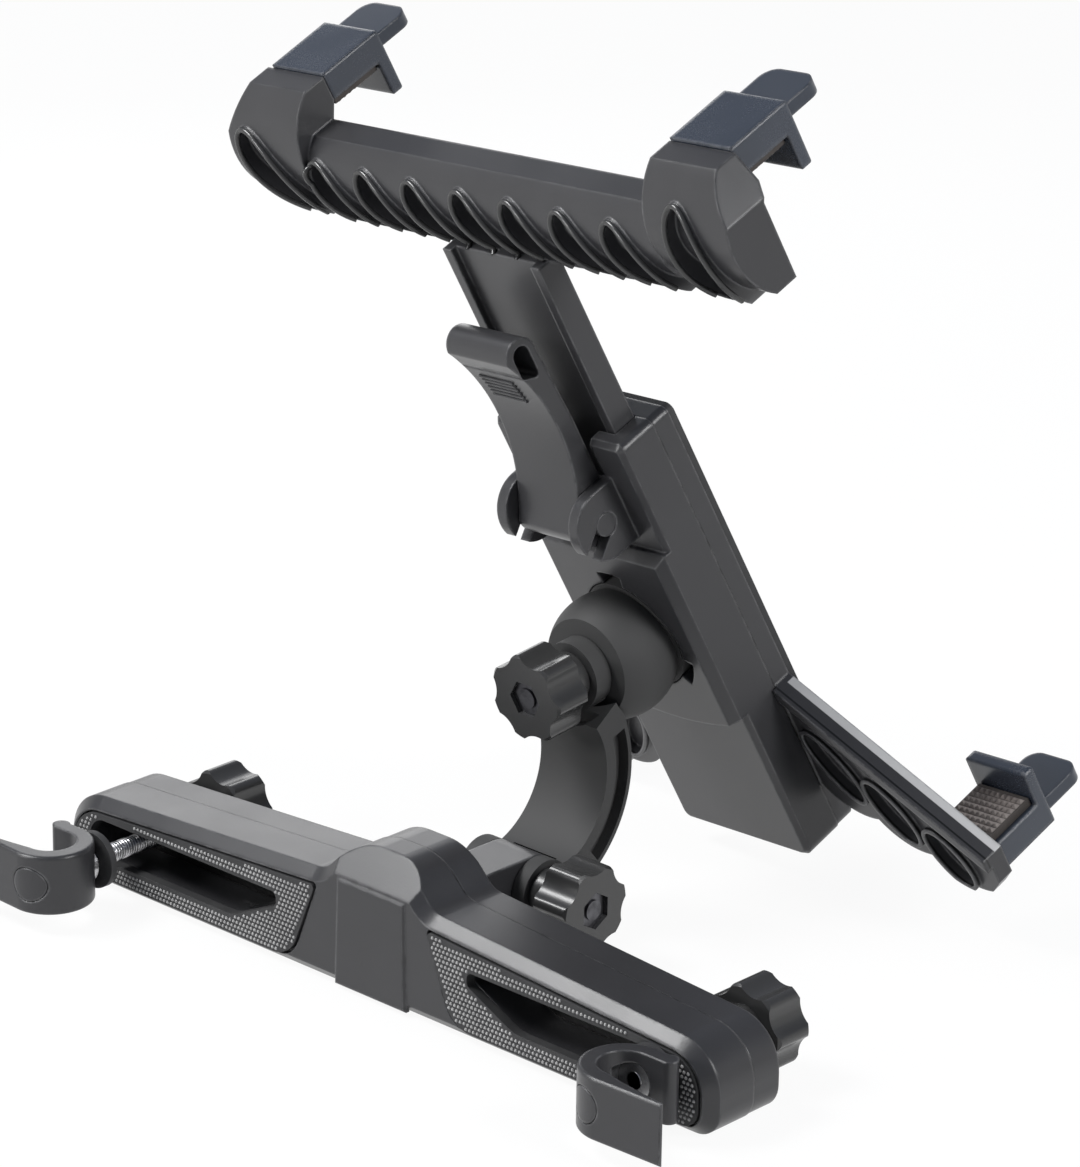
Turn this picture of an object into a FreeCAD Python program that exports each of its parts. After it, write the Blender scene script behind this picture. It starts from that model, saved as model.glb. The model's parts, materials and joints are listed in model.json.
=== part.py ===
"""Headrest tablet holder: a clamp bar with two post hooks, a tilting arm with a ball mount, and a cradle
with a sliding upper grip, spread lower wings and four adjustable edge clips.  Millimetres, +Z up.

World frame: X along the clamp bar, Y from the headrest towards the tablet, origin at the middle of the bar's
underside.  Cradle frame: u across, n from the back cover towards the tablet, v along the slide; it is turned
into the world by the three rest angles below.
"""
import FreeCAD, Part
import math
import os

Vec = FreeCAD.Vector
Turn = FreeCAD.Rotation
X_AXIS = Vec(1, 0, 0)
Y_AXIS = Vec(0, 1, 0)
Z_AXIS = Vec(0, 0, 1)

# Clearances
SLIP = 0.3
BOLT_PLAY = 0.05
SEAM_GROOVE = 0.4

# Fasteners: metric 5 bolts and nuts, small self-tapping cover screws
BOLT_R = 2.45
HEX_ACROSS = 8.0
HEX_HEAD = 3.5
NUT_HEIGHT = 4.0
COVER_SCREW_R = 1.3
COVER_SCREW_HEAD_R = 2.6
COVER_SCREW_HEAD = 1.6
COVER_SCREW_LENGTH = 9.0
SCREW_SINK = 0.6

# Clamp bar
BAR_HALF_LENGTH = 105.0
BAR_FRONT_DEPTH = 14.0
BAR_REAR_DEPTH = 10.0
BAR_END_HEIGHT = 21.5
BAR_SHOULDER_HEIGHT = 27.0
BAR_HUMP_HEIGHT = 35.5
BAR_HUMP_HALF = 17.5
BAR_HUMP_TOP_HALF = 9.0
BAR_HUMP_FOOT_R = 7.0
BAR_HUMP_TOP_R = 14.0
HUMP_FACE_Z = 28.5
HUMP_LEAN = 7.0
BAR_TOP_CORNER_R = 12.0
BAR_FOOT_CORNER_R = 7.0
BAR_BEVEL = 2.8
BAR_REAR_EDGE = 1.6
PANEL_HALF = 11.6
PANEL_PROUD = 0.6
PANEL_TAPER = 0.8
PANEL_FOOT = 0.8
BAR_SCREW_X = 24.0
BAR_SCREW_EDGE = 6.5

# Rubber grip pads and bolt slots of the bar
PAD_THICKNESS = 2.6
PAD_PROUD = 0.4
PAD_GAP = 0.5
PAD_INNER_TOP = 18.0
PAD_INNER_FOOT = 26.5
PAD_RIM = 3.4
PAD_END_RIM = 4.0
PAD_INNER_R = 8.5
PAD_FOOT = 2.4
SLOT_TIP = 31.0
SLOT_WIDE_START = 46.0
SLOT_END_RIM = 9.5
SLOT_SHELL_GAP = 0.6
SLOT_HEIGHT = 10.4
SLOT_TIP_HEIGHT = 3.4
BOLT_SLOT_HALF = 2.9
BOLT_SLOT_START = 39.0
BOLT_SLOT_Z = 12.4

# Post hooks
HOOK_HEIGHT = 15.0
HOOK_POST_R = 6.3
HOOK_WALL = 4.2
HOOK_FRONT_REACH = 22.0
HOOK_BACK_REACH = 8.0
HOOK_TIP = 1.6
HOOK_EDGE = 0.8
HOOK_POST_OFFSET = 3.0
HOOK_PLUG_R = 4.2
HOOK_PLUG_GAP = 0.2
WASHER_R = 7.0
WASHER_THICKNESS = 1.8
RIGHT_HOOK_INSET = 17.0
LEFT_HOOK_INSET = 21.0
RIGHT_HOOK_STANDOFF = 0.3
LEFT_HOOK_STANDOFF = 8.0
BOLT_HEAD_R = 4.6
BOLT_HEAD = 2.2

# Star knobs
KNOB_R = 11.0
KNOB_FLUTE_R = 9.1
KNOB_LOBES = 7
KNOB_LOBE_HALF_DEG = 9.0
KNOB_HEAD = 10.5
KNOB_NECK = 5.0
KNOB_NECK_R = 6.4
KNOB_EDGE = 0.7
NUT_SINK = 1.2
BOLT_END = 0.6

# Hinge stub behind the bar, and the arm
STUB_HALF = 6.6
HINGE_Y = 35.5
HINGE_Z = 16.0
HINGE_EYE_R = 7.8
CHEEK = 3.8
ARM_BEND_Y = 35.0
ARM_BEND_Z = 40.2
ARM_BEND_R = 25.2
ARM_THICKNESS = 8.6
ARM_START_DEG = -84.0
ARM_END_DEG = 36.0
ARM_GROOVE = 3.0
ARM_GROOVE_SHARE = 0.5
ARM_GROOVE_OFFSET = 1.0
ARM_GROOVE_START_DEG = -50.0
ARM_GROOVE_END_DEG = 20.0
FORK_ROOM = 1.2
ARM_EYE_R = 8.4
ARM_EYE = 5.0

# Ball mount
BALL_Y = 69.1
BALL_Z = 63.6
BALL_R = 15.7
BALL_AXIS_TILT_DEG = 5.7
BALL_SEAT = 9.6
BALL_BOLT_SINK = 6.0
BALL_BASE_R = 12.6
FLANGE_R = 14.9
LUG_R = 18.0
LUG_HALF_DEG = 13.0
LUG_COUNT = 3
LUG_THICKNESS = 2.4
LUG_TURN_DEG = 60.0

# Cradle rest attitude, and the ball centre in the cradle frame
CRADLE_YAW_DEG = -4.1
CRADLE_PITCH_DEG = 25.4
CRADLE_ROLL_DEG = -6.4
BALL_STANDOFF = 11.5
BALL_V = 68.0

# Cradle covers
BODY_WIDTH = 46.0
BODY_LENGTH = 126.0
BACK_DEPTH = 11.3
FRONT_DEPTH = 5.3
BODY_EDGE = 1.2
BODY_FOOT_CORNER_R = 3.0
BODY_TOP_CORNER_R = 2.0
PLATE_PROUD = 3.5
PLATE_LOW = 45.0
PLATE_TOP = 95.0
PLATE_BULGE = 3.0
PLATE_CHAMFER = 2.4
SOCKET_LIP = 3.0
FRONT_PAD = 2.0
FRONT_PAD_RIM = 0.8
FRONT_PAD_CORNER_R = 2.0
THROAT_HALF = 12.0
THROAT_DEPTH = 15.0
THROAT_CORNER_R = 2.0
SCREW_EDGE = 3.4
SCREW_FOOT_V = 12.0
SCREW_TOP = 8.0
SCREW_HOLE_N = 3.0

# Slide stem of the upper grip
STEM_HALF = 17.3
STEM_BACK_N = 4.4
STEM_FOOT_V = 48.0
STEM_RECESS = 1.8
STEM_FLANGE = 3.0
CHANNEL_FOOT_V = 6.0

# Lever between its two ears
EAR_R = 8.8
EAR_THICKNESS = 3.4
EAR_N = -6.6
EAR_V = 107.0
EAR_MOUTH = 4.6
EAR_MOUTH_DEG = 35.0
LEVER_HALF = 11.0
LEVER_HUB_R = 6.0
LEVER_LENGTH = 52.0
LEVER_CURL_R = 4.4
LEVER_CURL_N = -5.6
LEVER_WAIST = 4.6
LEVER_HOLLOW = 0.6
LEVER_EYE_WALL = 2.0
LEVER_EYE_LENGTH = 7.5
LEVER_EYE_CORNER_R = 1.2
TRUNNION_R = 2.9

# Upper grip
GRIP_HALF = 89.5
GRIP_ARM_INNER = 62.0
GRIP_FOOT_V = 173.0
GRIP_TOP_V = 193.0
GRIP_BACK_N = 6.6
GRIP_FRONT_N = 19.0
GRIP_SHOULDER_N = 21.4
GRIP_LEAVES = 7
LEAF_LENGTH = 12.6
LEAF_WIDTH = 5.0
LEAF_SLANT_DEG = 34.0
LEAF_RIM = 1.1
LEAF_PROUD = 1.4
LEAF_DEEP = 2.2
LEAF_DROP = 4.2
LEAF_HANG = 1.8
END_LEAF_RISE = 4.0
END_LEAF_SLANT_DEG = 12.0
END_LEAF_SCALE = 1.2

# Tongues and edge clips
TONGUE_WIDTH = 16.0
TONGUE_THICKNESS = 3.4
TONGUE_TIP_R = 4.0
CLIP_WALL = 1.6
CLIP_LENGTH = 18.6
CLIP_LIP = 3.4
CLIP_LIP_HEIGHT = 9.4
CLIP_EDGE = 0.7
CLIP_PAD = 2.0
UPPER_CLIP_U = 72.0
UPPER_TONGUE_V = 200.4
UPPER_TONGUE_REACH = 52.0
LOWER_CLIP_U = 63.0
LOWER_TONGUE_V = 0.8
LOWER_TONGUE_REACH = 50.0
LOWER_CLIP_GAP = 0.8

# Lower wings
WING_ROOT_TOP_V = 47.0
WING_ROOT_FOOT_V = 14.0
WING_TIP_TOP_V = 6.0
WING_TIP_FOOT_V = -5.9
WING_HALF = 76.0
WING_BACK_N = 12.0
WING_RIM = 2.6
WING_RIM_PROUD = 2.0
WING_LEAVES = 3
WING_LEAF_DEEP = 1.8
WING_LEAF_START = 0.62
WING_LEAF_SHRINK = 0.28
WING_LEAF_DROP = 1.6
WING_LEAF_MARGIN = 8.0
WING_SCALLOP = 3.0
WING_TIP_CORNER = 4.0

# Sizes that follow from the ones above
BAR_DEPTH = BAR_FRONT_DEPTH + BAR_REAR_DEPTH
BAR_FACE_Y = -BAR_DEPTH / 2
BAR_SEAM_Y = BAR_FACE_Y + BAR_FRONT_DEPTH
BAR_BACK_Y = BAR_DEPTH / 2
PAD_FACE_Y = BAR_FACE_Y - PAD_PROUD
HOOK_DEPTH = 2 * (HOOK_WALL + HOOK_POST_R)
SLOT_END = BAR_HALF_LENGTH - SLOT_END_RIM
RIGHT_HOOK_X = BAR_HALF_LENGTH - RIGHT_HOOK_INSET
LEFT_HOOK_X = BAR_HALF_LENGTH - LEFT_HOOK_INSET
BOLT_BORE_R = BOLT_R + BOLT_PLAY
BODY_HALF = BODY_WIDTH / 2
WING_ROOT_U = BODY_HALF - 2.0
BODY_DEPTH = BACK_DEPTH + FRONT_DEPTH
STEM_FRONT_N = BACK_DEPTH - SLIP
CLIP_HALF = TONGUE_WIDTH / 2 + SLIP + CLIP_WALL
CLIP_HALF_V = TONGUE_THICKNESS / 2 + SLIP + CLIP_WALL
ARM_HALF = STUB_HALF + SLIP + CHEEK
KNOB_LENGTH = KNOB_NECK + KNOB_HEAD
UPPER_CLIP_START_N = GRIP_SHOULDER_N + SLIP
LOWER_CLIP_START_N = BODY_DEPTH + LOWER_CLIP_GAP
HINGE = Vec(0, HINGE_Y, HINGE_Z)
BALL = Vec(0, BALL_Y, BALL_Z)
BALL_AXIS = Turn(X_AXIS, BALL_AXIS_TILT_DEG).multVec(-Y_AXIS)
CRADLE_TURN = Turn(Z_AXIS, CRADLE_YAW_DEG) * Turn(X_AXIS, CRADLE_PITCH_DEG) * Turn(Y_AXIS, CRADLE_ROLL_DEG)
BALL_IN_CRADLE = Vec(0, -BALL_STANDOFF, BALL_V)
CRADLE_ORIGIN = BALL - CRADLE_TURN.multVec(BALL_IN_CRADLE)
CRADLE = FreeCAD.Placement(CRADLE_ORIGIN, CRADLE_TURN)

nodes = {}


def outline(corners):
    """Closed flat wire through (a, b, radius) corners, with straight runs and tangent corner arcs."""
    count = len(corners)
    runs = []
    for i in range(count):
        here = Vec(corners[i][0], corners[i][1], 0)
        before = Vec(corners[i - 1][0], corners[i - 1][1], 0)
        after = Vec(corners[(i + 1) % count][0], corners[(i + 1) % count][1], 0)
        radius = corners[i][2]
        back = (before - here).normalize()
        ahead = (after - here).normalize()
        half = back.getAngle(ahead) / 2
        if radius <= 0 or abs(half - math.pi / 2) < 1e-6:
            runs.append((here, None, here))
            continue
        setback = radius / math.tan(half)
        inward = (back + ahead).normalize()
        middle = here + inward * (radius / math.sin(half) - radius)
        runs.append((here + back * setback, middle, here + ahead * setback))
    edges = []
    for i in range(count):
        start, middle, end = runs[i]
        if middle is not None:
            edges.append(Part.Arc(start, middle, end).toShape())
        following = runs[(i + 1) % count][0]
        if end.distanceToPoint(following) > 1e-6:
            edges.append(Part.LineSegment(end, following).toShape())
    return Part.Wire(edges)


def arc_outline(steps):
    """Closed flat wire from points; a pair of points in one step is an arc's middle and its end."""
    edges = []
    here = Vec(steps[0][0], steps[0][1], 0)
    for step in steps[1:] + steps[:1]:
        if len(step) == 4:
            end = Vec(step[2], step[3], 0)
            edges.append(Part.Arc(here, Vec(step[0], step[1], 0), end).toShape())
        else:
            end = Vec(step[0], step[1], 0)
            if end.distanceToPoint(here) > 1e-6:
                edges.append(Part.LineSegment(here, end).toShape())
        here = end
    return Part.Wire(edges)


def prism_along_y(wire, low, high):
    """Solid with the flat wire as its X-Z section, from y = low to y = high."""
    face = Part.Face(wire)
    face.Placement = FreeCAD.Placement(Vec(0, low, 0), Turn(X_AXIS, 90))
    return face.extrude(Vec(0, high - low, 0))


def prism_along_x(wire, low, high):
    """Solid with the flat wire as its Y-Z section, from x = low to x = high."""
    face = Part.Face(wire)
    face.Placement = FreeCAD.Placement(Vec(low, 0, 0), Turn(Vec(1, 1, 1), 120))
    return face.extrude(Vec(high - low, 0, 0))


def prism_along_z(wire, low, high):
    """Solid with the flat wire as its X-Y section, from z = low to z = high."""
    face = Part.Face(wire)
    face.translate(Vec(0, 0, low))
    return face.extrude(Vec(0, 0, high - low))


def box(low, high):
    """Box between two opposite corners."""
    return Part.makeBox(high[0] - low[0], high[1] - low[1], high[2] - low[2], Vec(*low))


def rod(radius, start, direction, length):
    """Round bar from a start point along a direction."""
    return Part.makeCylinder(radius, length, start, direction)


def mirror_x(shape):
    """The shape's mirror image on the other side of the middle plane."""
    return shape.mirror(Vec(0, 0, 0), X_AXIS)


def edges_where(shape, test):
    """The shape's edges whose middle point passes a test."""
    found = []
    for edge in shape.Edges:
        middle = edge.valueAt((edge.FirstParameter + edge.LastParameter) / 2)
        if test(middle):
            found.append(edge)
    return found


def hexagon(across, start, length):
    """Six-sided bar about the Z axis."""
    corner = across / 2 / math.cos(math.pi / 6)
    points = []
    for k in range(6):
        points.append((corner * math.cos(k * math.pi / 3), corner * math.sin(k * math.pi / 3), 0))
    return prism_along_z(outline(points), start, start + length)


def ellipse_bar(length, width, centre, slant_deg, low, high):
    """Leaf-shaped (elliptic) bar along Y at (x, z), its long axis slanted from vertical towards +X below."""
    curve = Part.Ellipse(Vec(0, 0, 0), length, width)
    face = Part.Face(Part.Wire([curve.toShape()]))
    spin = Turn(Y_AXIS, 90 - slant_deg) * Turn(X_AXIS, 90)
    face.Placement = FreeCAD.Placement(Vec(centre[0], low, centre[1]), spin)
    return face.extrude(Vec(0, high - low, 0))


def place(shape, start, direction):
    """Moves a shape made along Z so that it starts at a point and runs along a direction."""
    moved = shape.copy()
    moved.Placement = FreeCAD.Placement(start, Turn(Z_AXIS, direction))
    return moved


def in_cradle(shape):
    """The shape, made in cradle coordinates, at its rest place in the world."""
    moved = shape.copy()
    moved.Placement = CRADLE.multiply(moved.Placement)
    return moved


def star_knob():
    """Seven-lobed clamp knob along Z: round neck on its seat, fluted head, hexagon recess for the nut."""
    edges = []
    pitch = 2 * math.pi / KNOB_LOBES
    lobe = math.radians(KNOB_LOBE_HALF_DEG)

    def at(radius, angle):
        return Vec(radius * math.cos(angle), radius * math.sin(angle), 0)

    for k in range(KNOB_LOBES):
        middle = k * pitch
        lobe_start = at(KNOB_R - KNOB_EDGE, middle - lobe)
        lobe_end = at(KNOB_R - KNOB_EDGE, middle + lobe)
        next_start = at(KNOB_R - KNOB_EDGE, middle + pitch - lobe)
        edges.append(Part.Arc(lobe_start, at(KNOB_R, middle), lobe_end).toShape())
        edges.append(Part.Arc(lobe_end, at(KNOB_FLUTE_R, middle + pitch / 2), next_start).toShape())
    head = prism_along_z(Part.Wire(edges), KNOB_NECK, KNOB_LENGTH)
    dome = rod(KNOB_R, Vec(0, 0, KNOB_NECK), Z_AXIS, KNOB_HEAD)
    end_rims = [edge for edge in dome.Edges if edge.isClosed()]
    dome = dome.makeChamfer(KNOB_EDGE, end_rims)
    neck = rod(KNOB_NECK_R, Vec(0, 0, 0), Z_AXIS, KNOB_NECK)
    knob = head.common(dome).fuse(neck)
    recess_depth = NUT_SINK + NUT_HEIGHT
    recess = hexagon(HEX_ACROSS + 2 * BOLT_PLAY, KNOB_LENGTH - recess_depth, recess_depth + 1)
    bore = rod(BOLT_BORE_R, Vec(0, 0, -1), Z_AXIS, KNOB_LENGTH + 2)
    return knob.cut(recess).cut(bore).removeSplitter()


def knob_nut():
    """Hexagon nut at its place in the knob's recess."""
    start = KNOB_LENGTH - NUT_SINK - NUT_HEIGHT
    bore = rod(BOLT_BORE_R, Vec(0, 0, start - 1), Z_AXIS, NUT_HEIGHT + 2)
    return hexagon(HEX_ACROSS, start, NUT_HEIGHT).cut(bore)


def bar_section(grow):
    """The bar's front view: straight foot, rounded ends, sloping shoulders and the middle hump."""
    end = BAR_HALF_LENGTH + grow
    side = [
        (end, -grow, BAR_FOOT_CORNER_R + grow),
        (end, BAR_END_HEIGHT + grow, BAR_TOP_CORNER_R + grow),
        (BAR_HUMP_HALF, BAR_SHOULDER_HEIGHT + grow, BAR_HUMP_FOOT_R),
        (BAR_HUMP_TOP_HALF, BAR_HUMP_HEIGHT + grow, BAR_HUMP_TOP_R),
    ]
    other = [(-x, z, r) for x, z, r in reversed(side)]
    return outline(side + other)


def pad_outline(grow):
    """Right-hand grip pad: slanted inner edge, foot and top edges along the bar, rounded outer end."""
    slope = (BAR_SHOULDER_HEIGHT - BAR_END_HEIGHT) / (BAR_HALF_LENGTH - BAR_HUMP_HALF)
    end = BAR_HALF_LENGTH - PAD_END_RIM + grow
    top = BAR_SHOULDER_HEIGHT - PAD_RIM + grow
    inner_top = PAD_INNER_TOP - grow
    end_top = top - slope * (end - inner_top)
    return outline([
        (PAD_INNER_FOOT - grow, PAD_FOOT - grow, PAD_INNER_R),
        (end, PAD_FOOT - grow, BAR_FOOT_CORNER_R - PAD_FOOT + grow),
        (end, end_top, BAR_TOP_CORNER_R - PAD_RIM + grow),
        (inner_top, top, 1.0),
    ])


def slot_outline(grow):
    """Right-hand pad slot: narrow inner tip high up, widening to its full height, round outer end."""
    low = BOLT_SLOT_Z - SLOT_HEIGHT / 2 - grow
    high = BOLT_SLOT_Z + SLOT_HEIGHT / 2 + grow
    tip = SLOT_TIP - grow
    round_end = SLOT_HEIGHT / 2 + grow - 0.1
    tip_r = SLOT_TIP_HEIGHT / 2 - 0.1
    return outline([
        (tip, high - SLOT_TIP_HEIGHT, tip_r),
        (SLOT_WIDE_START, low, SLOT_HEIGHT),
        (SLOT_END + grow, low, round_end),
        (SLOT_END + grow, high, round_end),
        (tip, high, tip_r),
    ])


def bolt_slot():
    """Right-hand straight slot for the hook bolt in the rear shell."""
    low = BOLT_SLOT_Z - BOLT_SLOT_HALF
    high = BOLT_SLOT_Z + BOLT_SLOT_HALF
    round_end = BOLT_SLOT_HALF - 0.05
    return outline([
        (BOLT_SLOT_START, low, round_end), (SLOT_END - 1, low, round_end),
        (SLOT_END - 1, high, round_end), (BOLT_SLOT_START, high, round_end),
    ])


def both_sides(shape):
    """The right-hand shape and its mirror image in one compound tool."""
    return shape.fuse(mirror_x(shape))


def bar_screw_places():
    """Rear-shell screw centres as (x, z)."""
    places = []
    for z in (BAR_SCREW_EDGE, BAR_SHOULDER_HEIGHT - BAR_SCREW_EDGE):
        places.append((BAR_SCREW_X, z))
        places.append((-BAR_SCREW_X, z))
    return places


def make_bar():
    """The bar's two shells, grip pads and shell screws."""
    front = prism_along_y(bar_section(0), BAR_FACE_Y, BAR_SEAM_Y)
    rim = edges_where(front, lambda p: abs(p.y - BAR_FACE_Y) < 0.01 and p.z > BAR_FOOT_CORNER_R / 2)
    front = front.makeChamfer(BAR_BEVEL, rim)
    steep = (BAR_HUMP_HEIGHT - HUMP_FACE_Z) / HUMP_LEAN
    brow = prism_along_x(outline([
        (BAR_FACE_Y - 1, HUMP_FACE_Z - steep, 0),
        (BAR_FACE_Y + HUMP_LEAN + 1, BAR_HUMP_HEIGHT + steep, 0),
        (BAR_FACE_Y - 1, BAR_HUMP_HEIGHT + steep, 0),
    ]), -BAR_HUMP_HALF, BAR_HUMP_HALF)
    front = front.cut(brow)
    panel_top = HUMP_FACE_Z - PANEL_PROUD
    panel = prism_along_y(outline([
        (-PANEL_HALF, PANEL_FOOT, 0), (PANEL_HALF, PANEL_FOOT, 0),
        (PANEL_HALF - PANEL_TAPER, panel_top, 0), (PANEL_TAPER - PANEL_HALF, panel_top, 0),
    ]), BAR_FACE_Y - PANEL_PROUD, BAR_FACE_Y + 1)
    panel_rim = edges_where(panel, lambda p: abs(p.y - BAR_FACE_Y + PANEL_PROUD) < 0.01)
    front = front.fuse(panel.makeChamfer(PANEL_PROUD * 0.9, panel_rim))
    pocket = prism_along_y(pad_outline(PAD_GAP), BAR_FACE_Y - 1, PAD_FACE_Y + PAD_THICKNESS)
    through = prism_along_y(slot_outline(SLOT_SHELL_GAP), BAR_FACE_Y - 1, BAR_SEAM_Y + 1)
    front = front.cut(both_sides(pocket)).cut(both_sides(through))

    rear = prism_along_y(bar_section(-SEAM_GROOVE / 2), BAR_SEAM_Y, BAR_BACK_Y)
    rear_rim = edges_where(rear, lambda p: abs(p.y - BAR_BACK_Y) < 0.01)
    rear = rear.makeChamfer(BAR_REAR_EDGE, rear_rim)
    stub = box((-STUB_HALF, BAR_BACK_Y - 2, HINGE_Z - HINGE_EYE_R),
               (STUB_HALF, HINGE_Y, HINGE_Z + HINGE_EYE_R))
    eye = rod(HINGE_EYE_R, Vec(-STUB_HALF, HINGE_Y, HINGE_Z), X_AXIS, 2 * STUB_HALF)
    bore = rod(BOLT_BORE_R, Vec(-STUB_HALF - 1, HINGE_Y, HINGE_Z), X_AXIS, 2 * STUB_HALF + 2)
    rear = rear.fuse(stub).fuse(eye).cut(bore)
    rear = rear.cut(both_sides(prism_along_y(bolt_slot(), BAR_SEAM_Y - 1, BAR_BACK_Y + 1)))
    screws = []
    for x, z in bar_screw_places():
        seat_y = BAR_BACK_Y - COVER_SCREW_HEAD - SCREW_SINK
        well = rod(COVER_SCREW_HEAD_R + SLIP, Vec(x, seat_y, z), Y_AXIS, BAR_REAR_DEPTH)
        shank_start = Vec(x, seat_y - COVER_SCREW_LENGTH, z)
        hole = rod(COVER_SCREW_R + BOLT_PLAY, shank_start - Y_AXIS * 0.5, Y_AXIS, COVER_SCREW_LENGTH + 0.6)
        rear = rear.cut(well).cut(hole)
        front = front.cut(hole)
        head = rod(COVER_SCREW_HEAD_R, Vec(x, seat_y, z), Y_AXIS, COVER_SCREW_HEAD)
        screws.append(head.fuse(rod(COVER_SCREW_R, shank_start, Y_AXIS, COVER_SCREW_LENGTH)))
    nodes["bar_front_shell"] = front.removeSplitter()
    nodes["bar_rear_shell"] = rear.removeSplitter()
    nodes["bar_screws"] = Part.makeCompound(screws)
    pad = prism_along_y(pad_outline(0), PAD_FACE_Y, PAD_FACE_Y + PAD_THICKNESS)
    pad = pad.cut(prism_along_y(slot_outline(0), PAD_FACE_Y - 1, PAD_FACE_Y + PAD_THICKNESS + 1))
    nodes["right_grip_pad"] = pad
    nodes["left_grip_pad"] = mirror_x(pad)


def hook_outline():
    """Right-hand hook seen from above: round closed end, short back wall, long tapering front wall."""
    outer_r = HOOK_DEPTH / 2
    middle_y = -outer_r
    front_y = -HOOK_DEPTH
    post_x = HOOK_POST_OFFSET
    left = post_x - outer_r
    inner = post_x - HOOK_POST_R
    tip_y = front_y + HOOK_TIP
    return arc_outline([
        (post_x, 0),
        (left, middle_y, post_x, front_y),
        (HOOK_FRONT_REACH, tip_y - HOOK_TIP / 2),
        (HOOK_FRONT_REACH, tip_y),
        ((post_x + HOOK_FRONT_REACH) / 2 + HOOK_TIP, tip_y + HOOK_TIP / 2, post_x, middle_y - HOOK_POST_R),
        (inner, middle_y, post_x, middle_y + HOOK_POST_R),
        (HOOK_BACK_REACH, middle_y + HOOK_POST_R),
        (HOOK_BACK_REACH + HOOK_WALL * 0.6, -HOOK_WALL * 0.5, HOOK_BACK_REACH, 0),
    ])


def make_hook(side, sign, bolt_x, standoff):
    """One post hook with its plug, washer, bolt, knob and nut; sign -1 mirrors it to the left."""
    low = -HOOK_HEIGHT / 2
    hook = prism_along_z(hook_outline(), low, -low)
    wall_middle = HOOK_POST_OFFSET - HOOK_POST_R - HOOK_WALL / 2
    round_over = edges_where(hook, lambda p: abs(abs(p.z) - HOOK_HEIGHT / 2) < 0.01 and p.x < wall_middle)
    hook = hook.makeFillet(HOOK_EDGE, round_over)
    plug_start = -HOOK_DEPTH - 1
    access = rod(HOOK_PLUG_R + HOOK_PLUG_GAP, Vec(0, plug_start, 0), Y_AXIS, HOOK_WALL + 2.0)
    head_seat = -HOOK_WALL + BOLT_HEAD
    head_well = rod(BOLT_HEAD_R + BOLT_PLAY, Vec(0, head_seat - HOOK_POST_R, 0), Y_AXIS, HOOK_POST_R)
    shank_hole = rod(BOLT_BORE_R, Vec(0, -HOOK_WALL - 1, 0), Y_AXIS, HOOK_WALL + 2)
    body = prism_along_z(hook_outline(), low - 1, 1 - low)
    plug = rod(HOOK_PLUG_R, Vec(0, plug_start, 0), Y_AXIS, HOOK_WALL + 2.0)
    plug = plug.common(body)
    hook = hook.cut(access).cut(head_well).cut(shank_hole)
    washer = rod(WASHER_R, Vec(0, 0, 0), Y_AXIS, WASHER_THICKNESS)
    washer = washer.cut(rod(BOLT_BORE_R, Vec(0, -1, 0), Y_AXIS, WASHER_THICKNESS + 2))
    back_y = PAD_FACE_Y - standoff - WASHER_THICKNESS
    bolt_length = BAR_BACK_Y - back_y + SLIP + KNOB_LENGTH - NUT_SINK + BOLT_END
    bolt = rod(BOLT_HEAD_R, Vec(0, -HOOK_WALL, 0), Y_AXIS, BOLT_HEAD)
    bolt = bolt.fuse(rod(BOLT_R, Vec(0, -HOOK_WALL, 0), Y_AXIS, bolt_length + HOOK_WALL))
    knob_seat = Vec(bolt_x * sign, BAR_BACK_Y + SLIP, BOLT_SLOT_Z)
    pieces = {"hook": hook, "hook_plug": plug, "hook_washer": washer, "hook_bolt": bolt}
    for name, shape in pieces.items():
        piece = shape if sign > 0 else mirror_x(shape)
        piece.translate(Vec(bolt_x * sign, back_y, BOLT_SLOT_Z))
        nodes[side + "_" + name] = piece
    nodes[side + "_hook_knob"] = place(star_knob(), knob_seat, Y_AXIS)
    nodes[side + "_hook_nut"] = place(knob_nut(), knob_seat, Y_AXIS)


def bend_point(radius, angle_deg):
    """A point of the arm's bend as (y, z)."""
    angle = math.radians(angle_deg)
    return (ARM_BEND_Y + radius * math.cos(angle), ARM_BEND_Z + radius * math.sin(angle))


def bend_band(inner, outer, start_deg, end_deg):
    """Section of the curved arm between two radii and two angles."""
    middle = (start_deg + end_deg) / 2
    return arc_outline([
        bend_point(outer, start_deg),
        bend_point(outer, middle) + bend_point(outer, end_deg),
        bend_point(inner, end_deg),
        bend_point(inner, middle) + bend_point(inner, start_deg),
    ])


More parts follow.
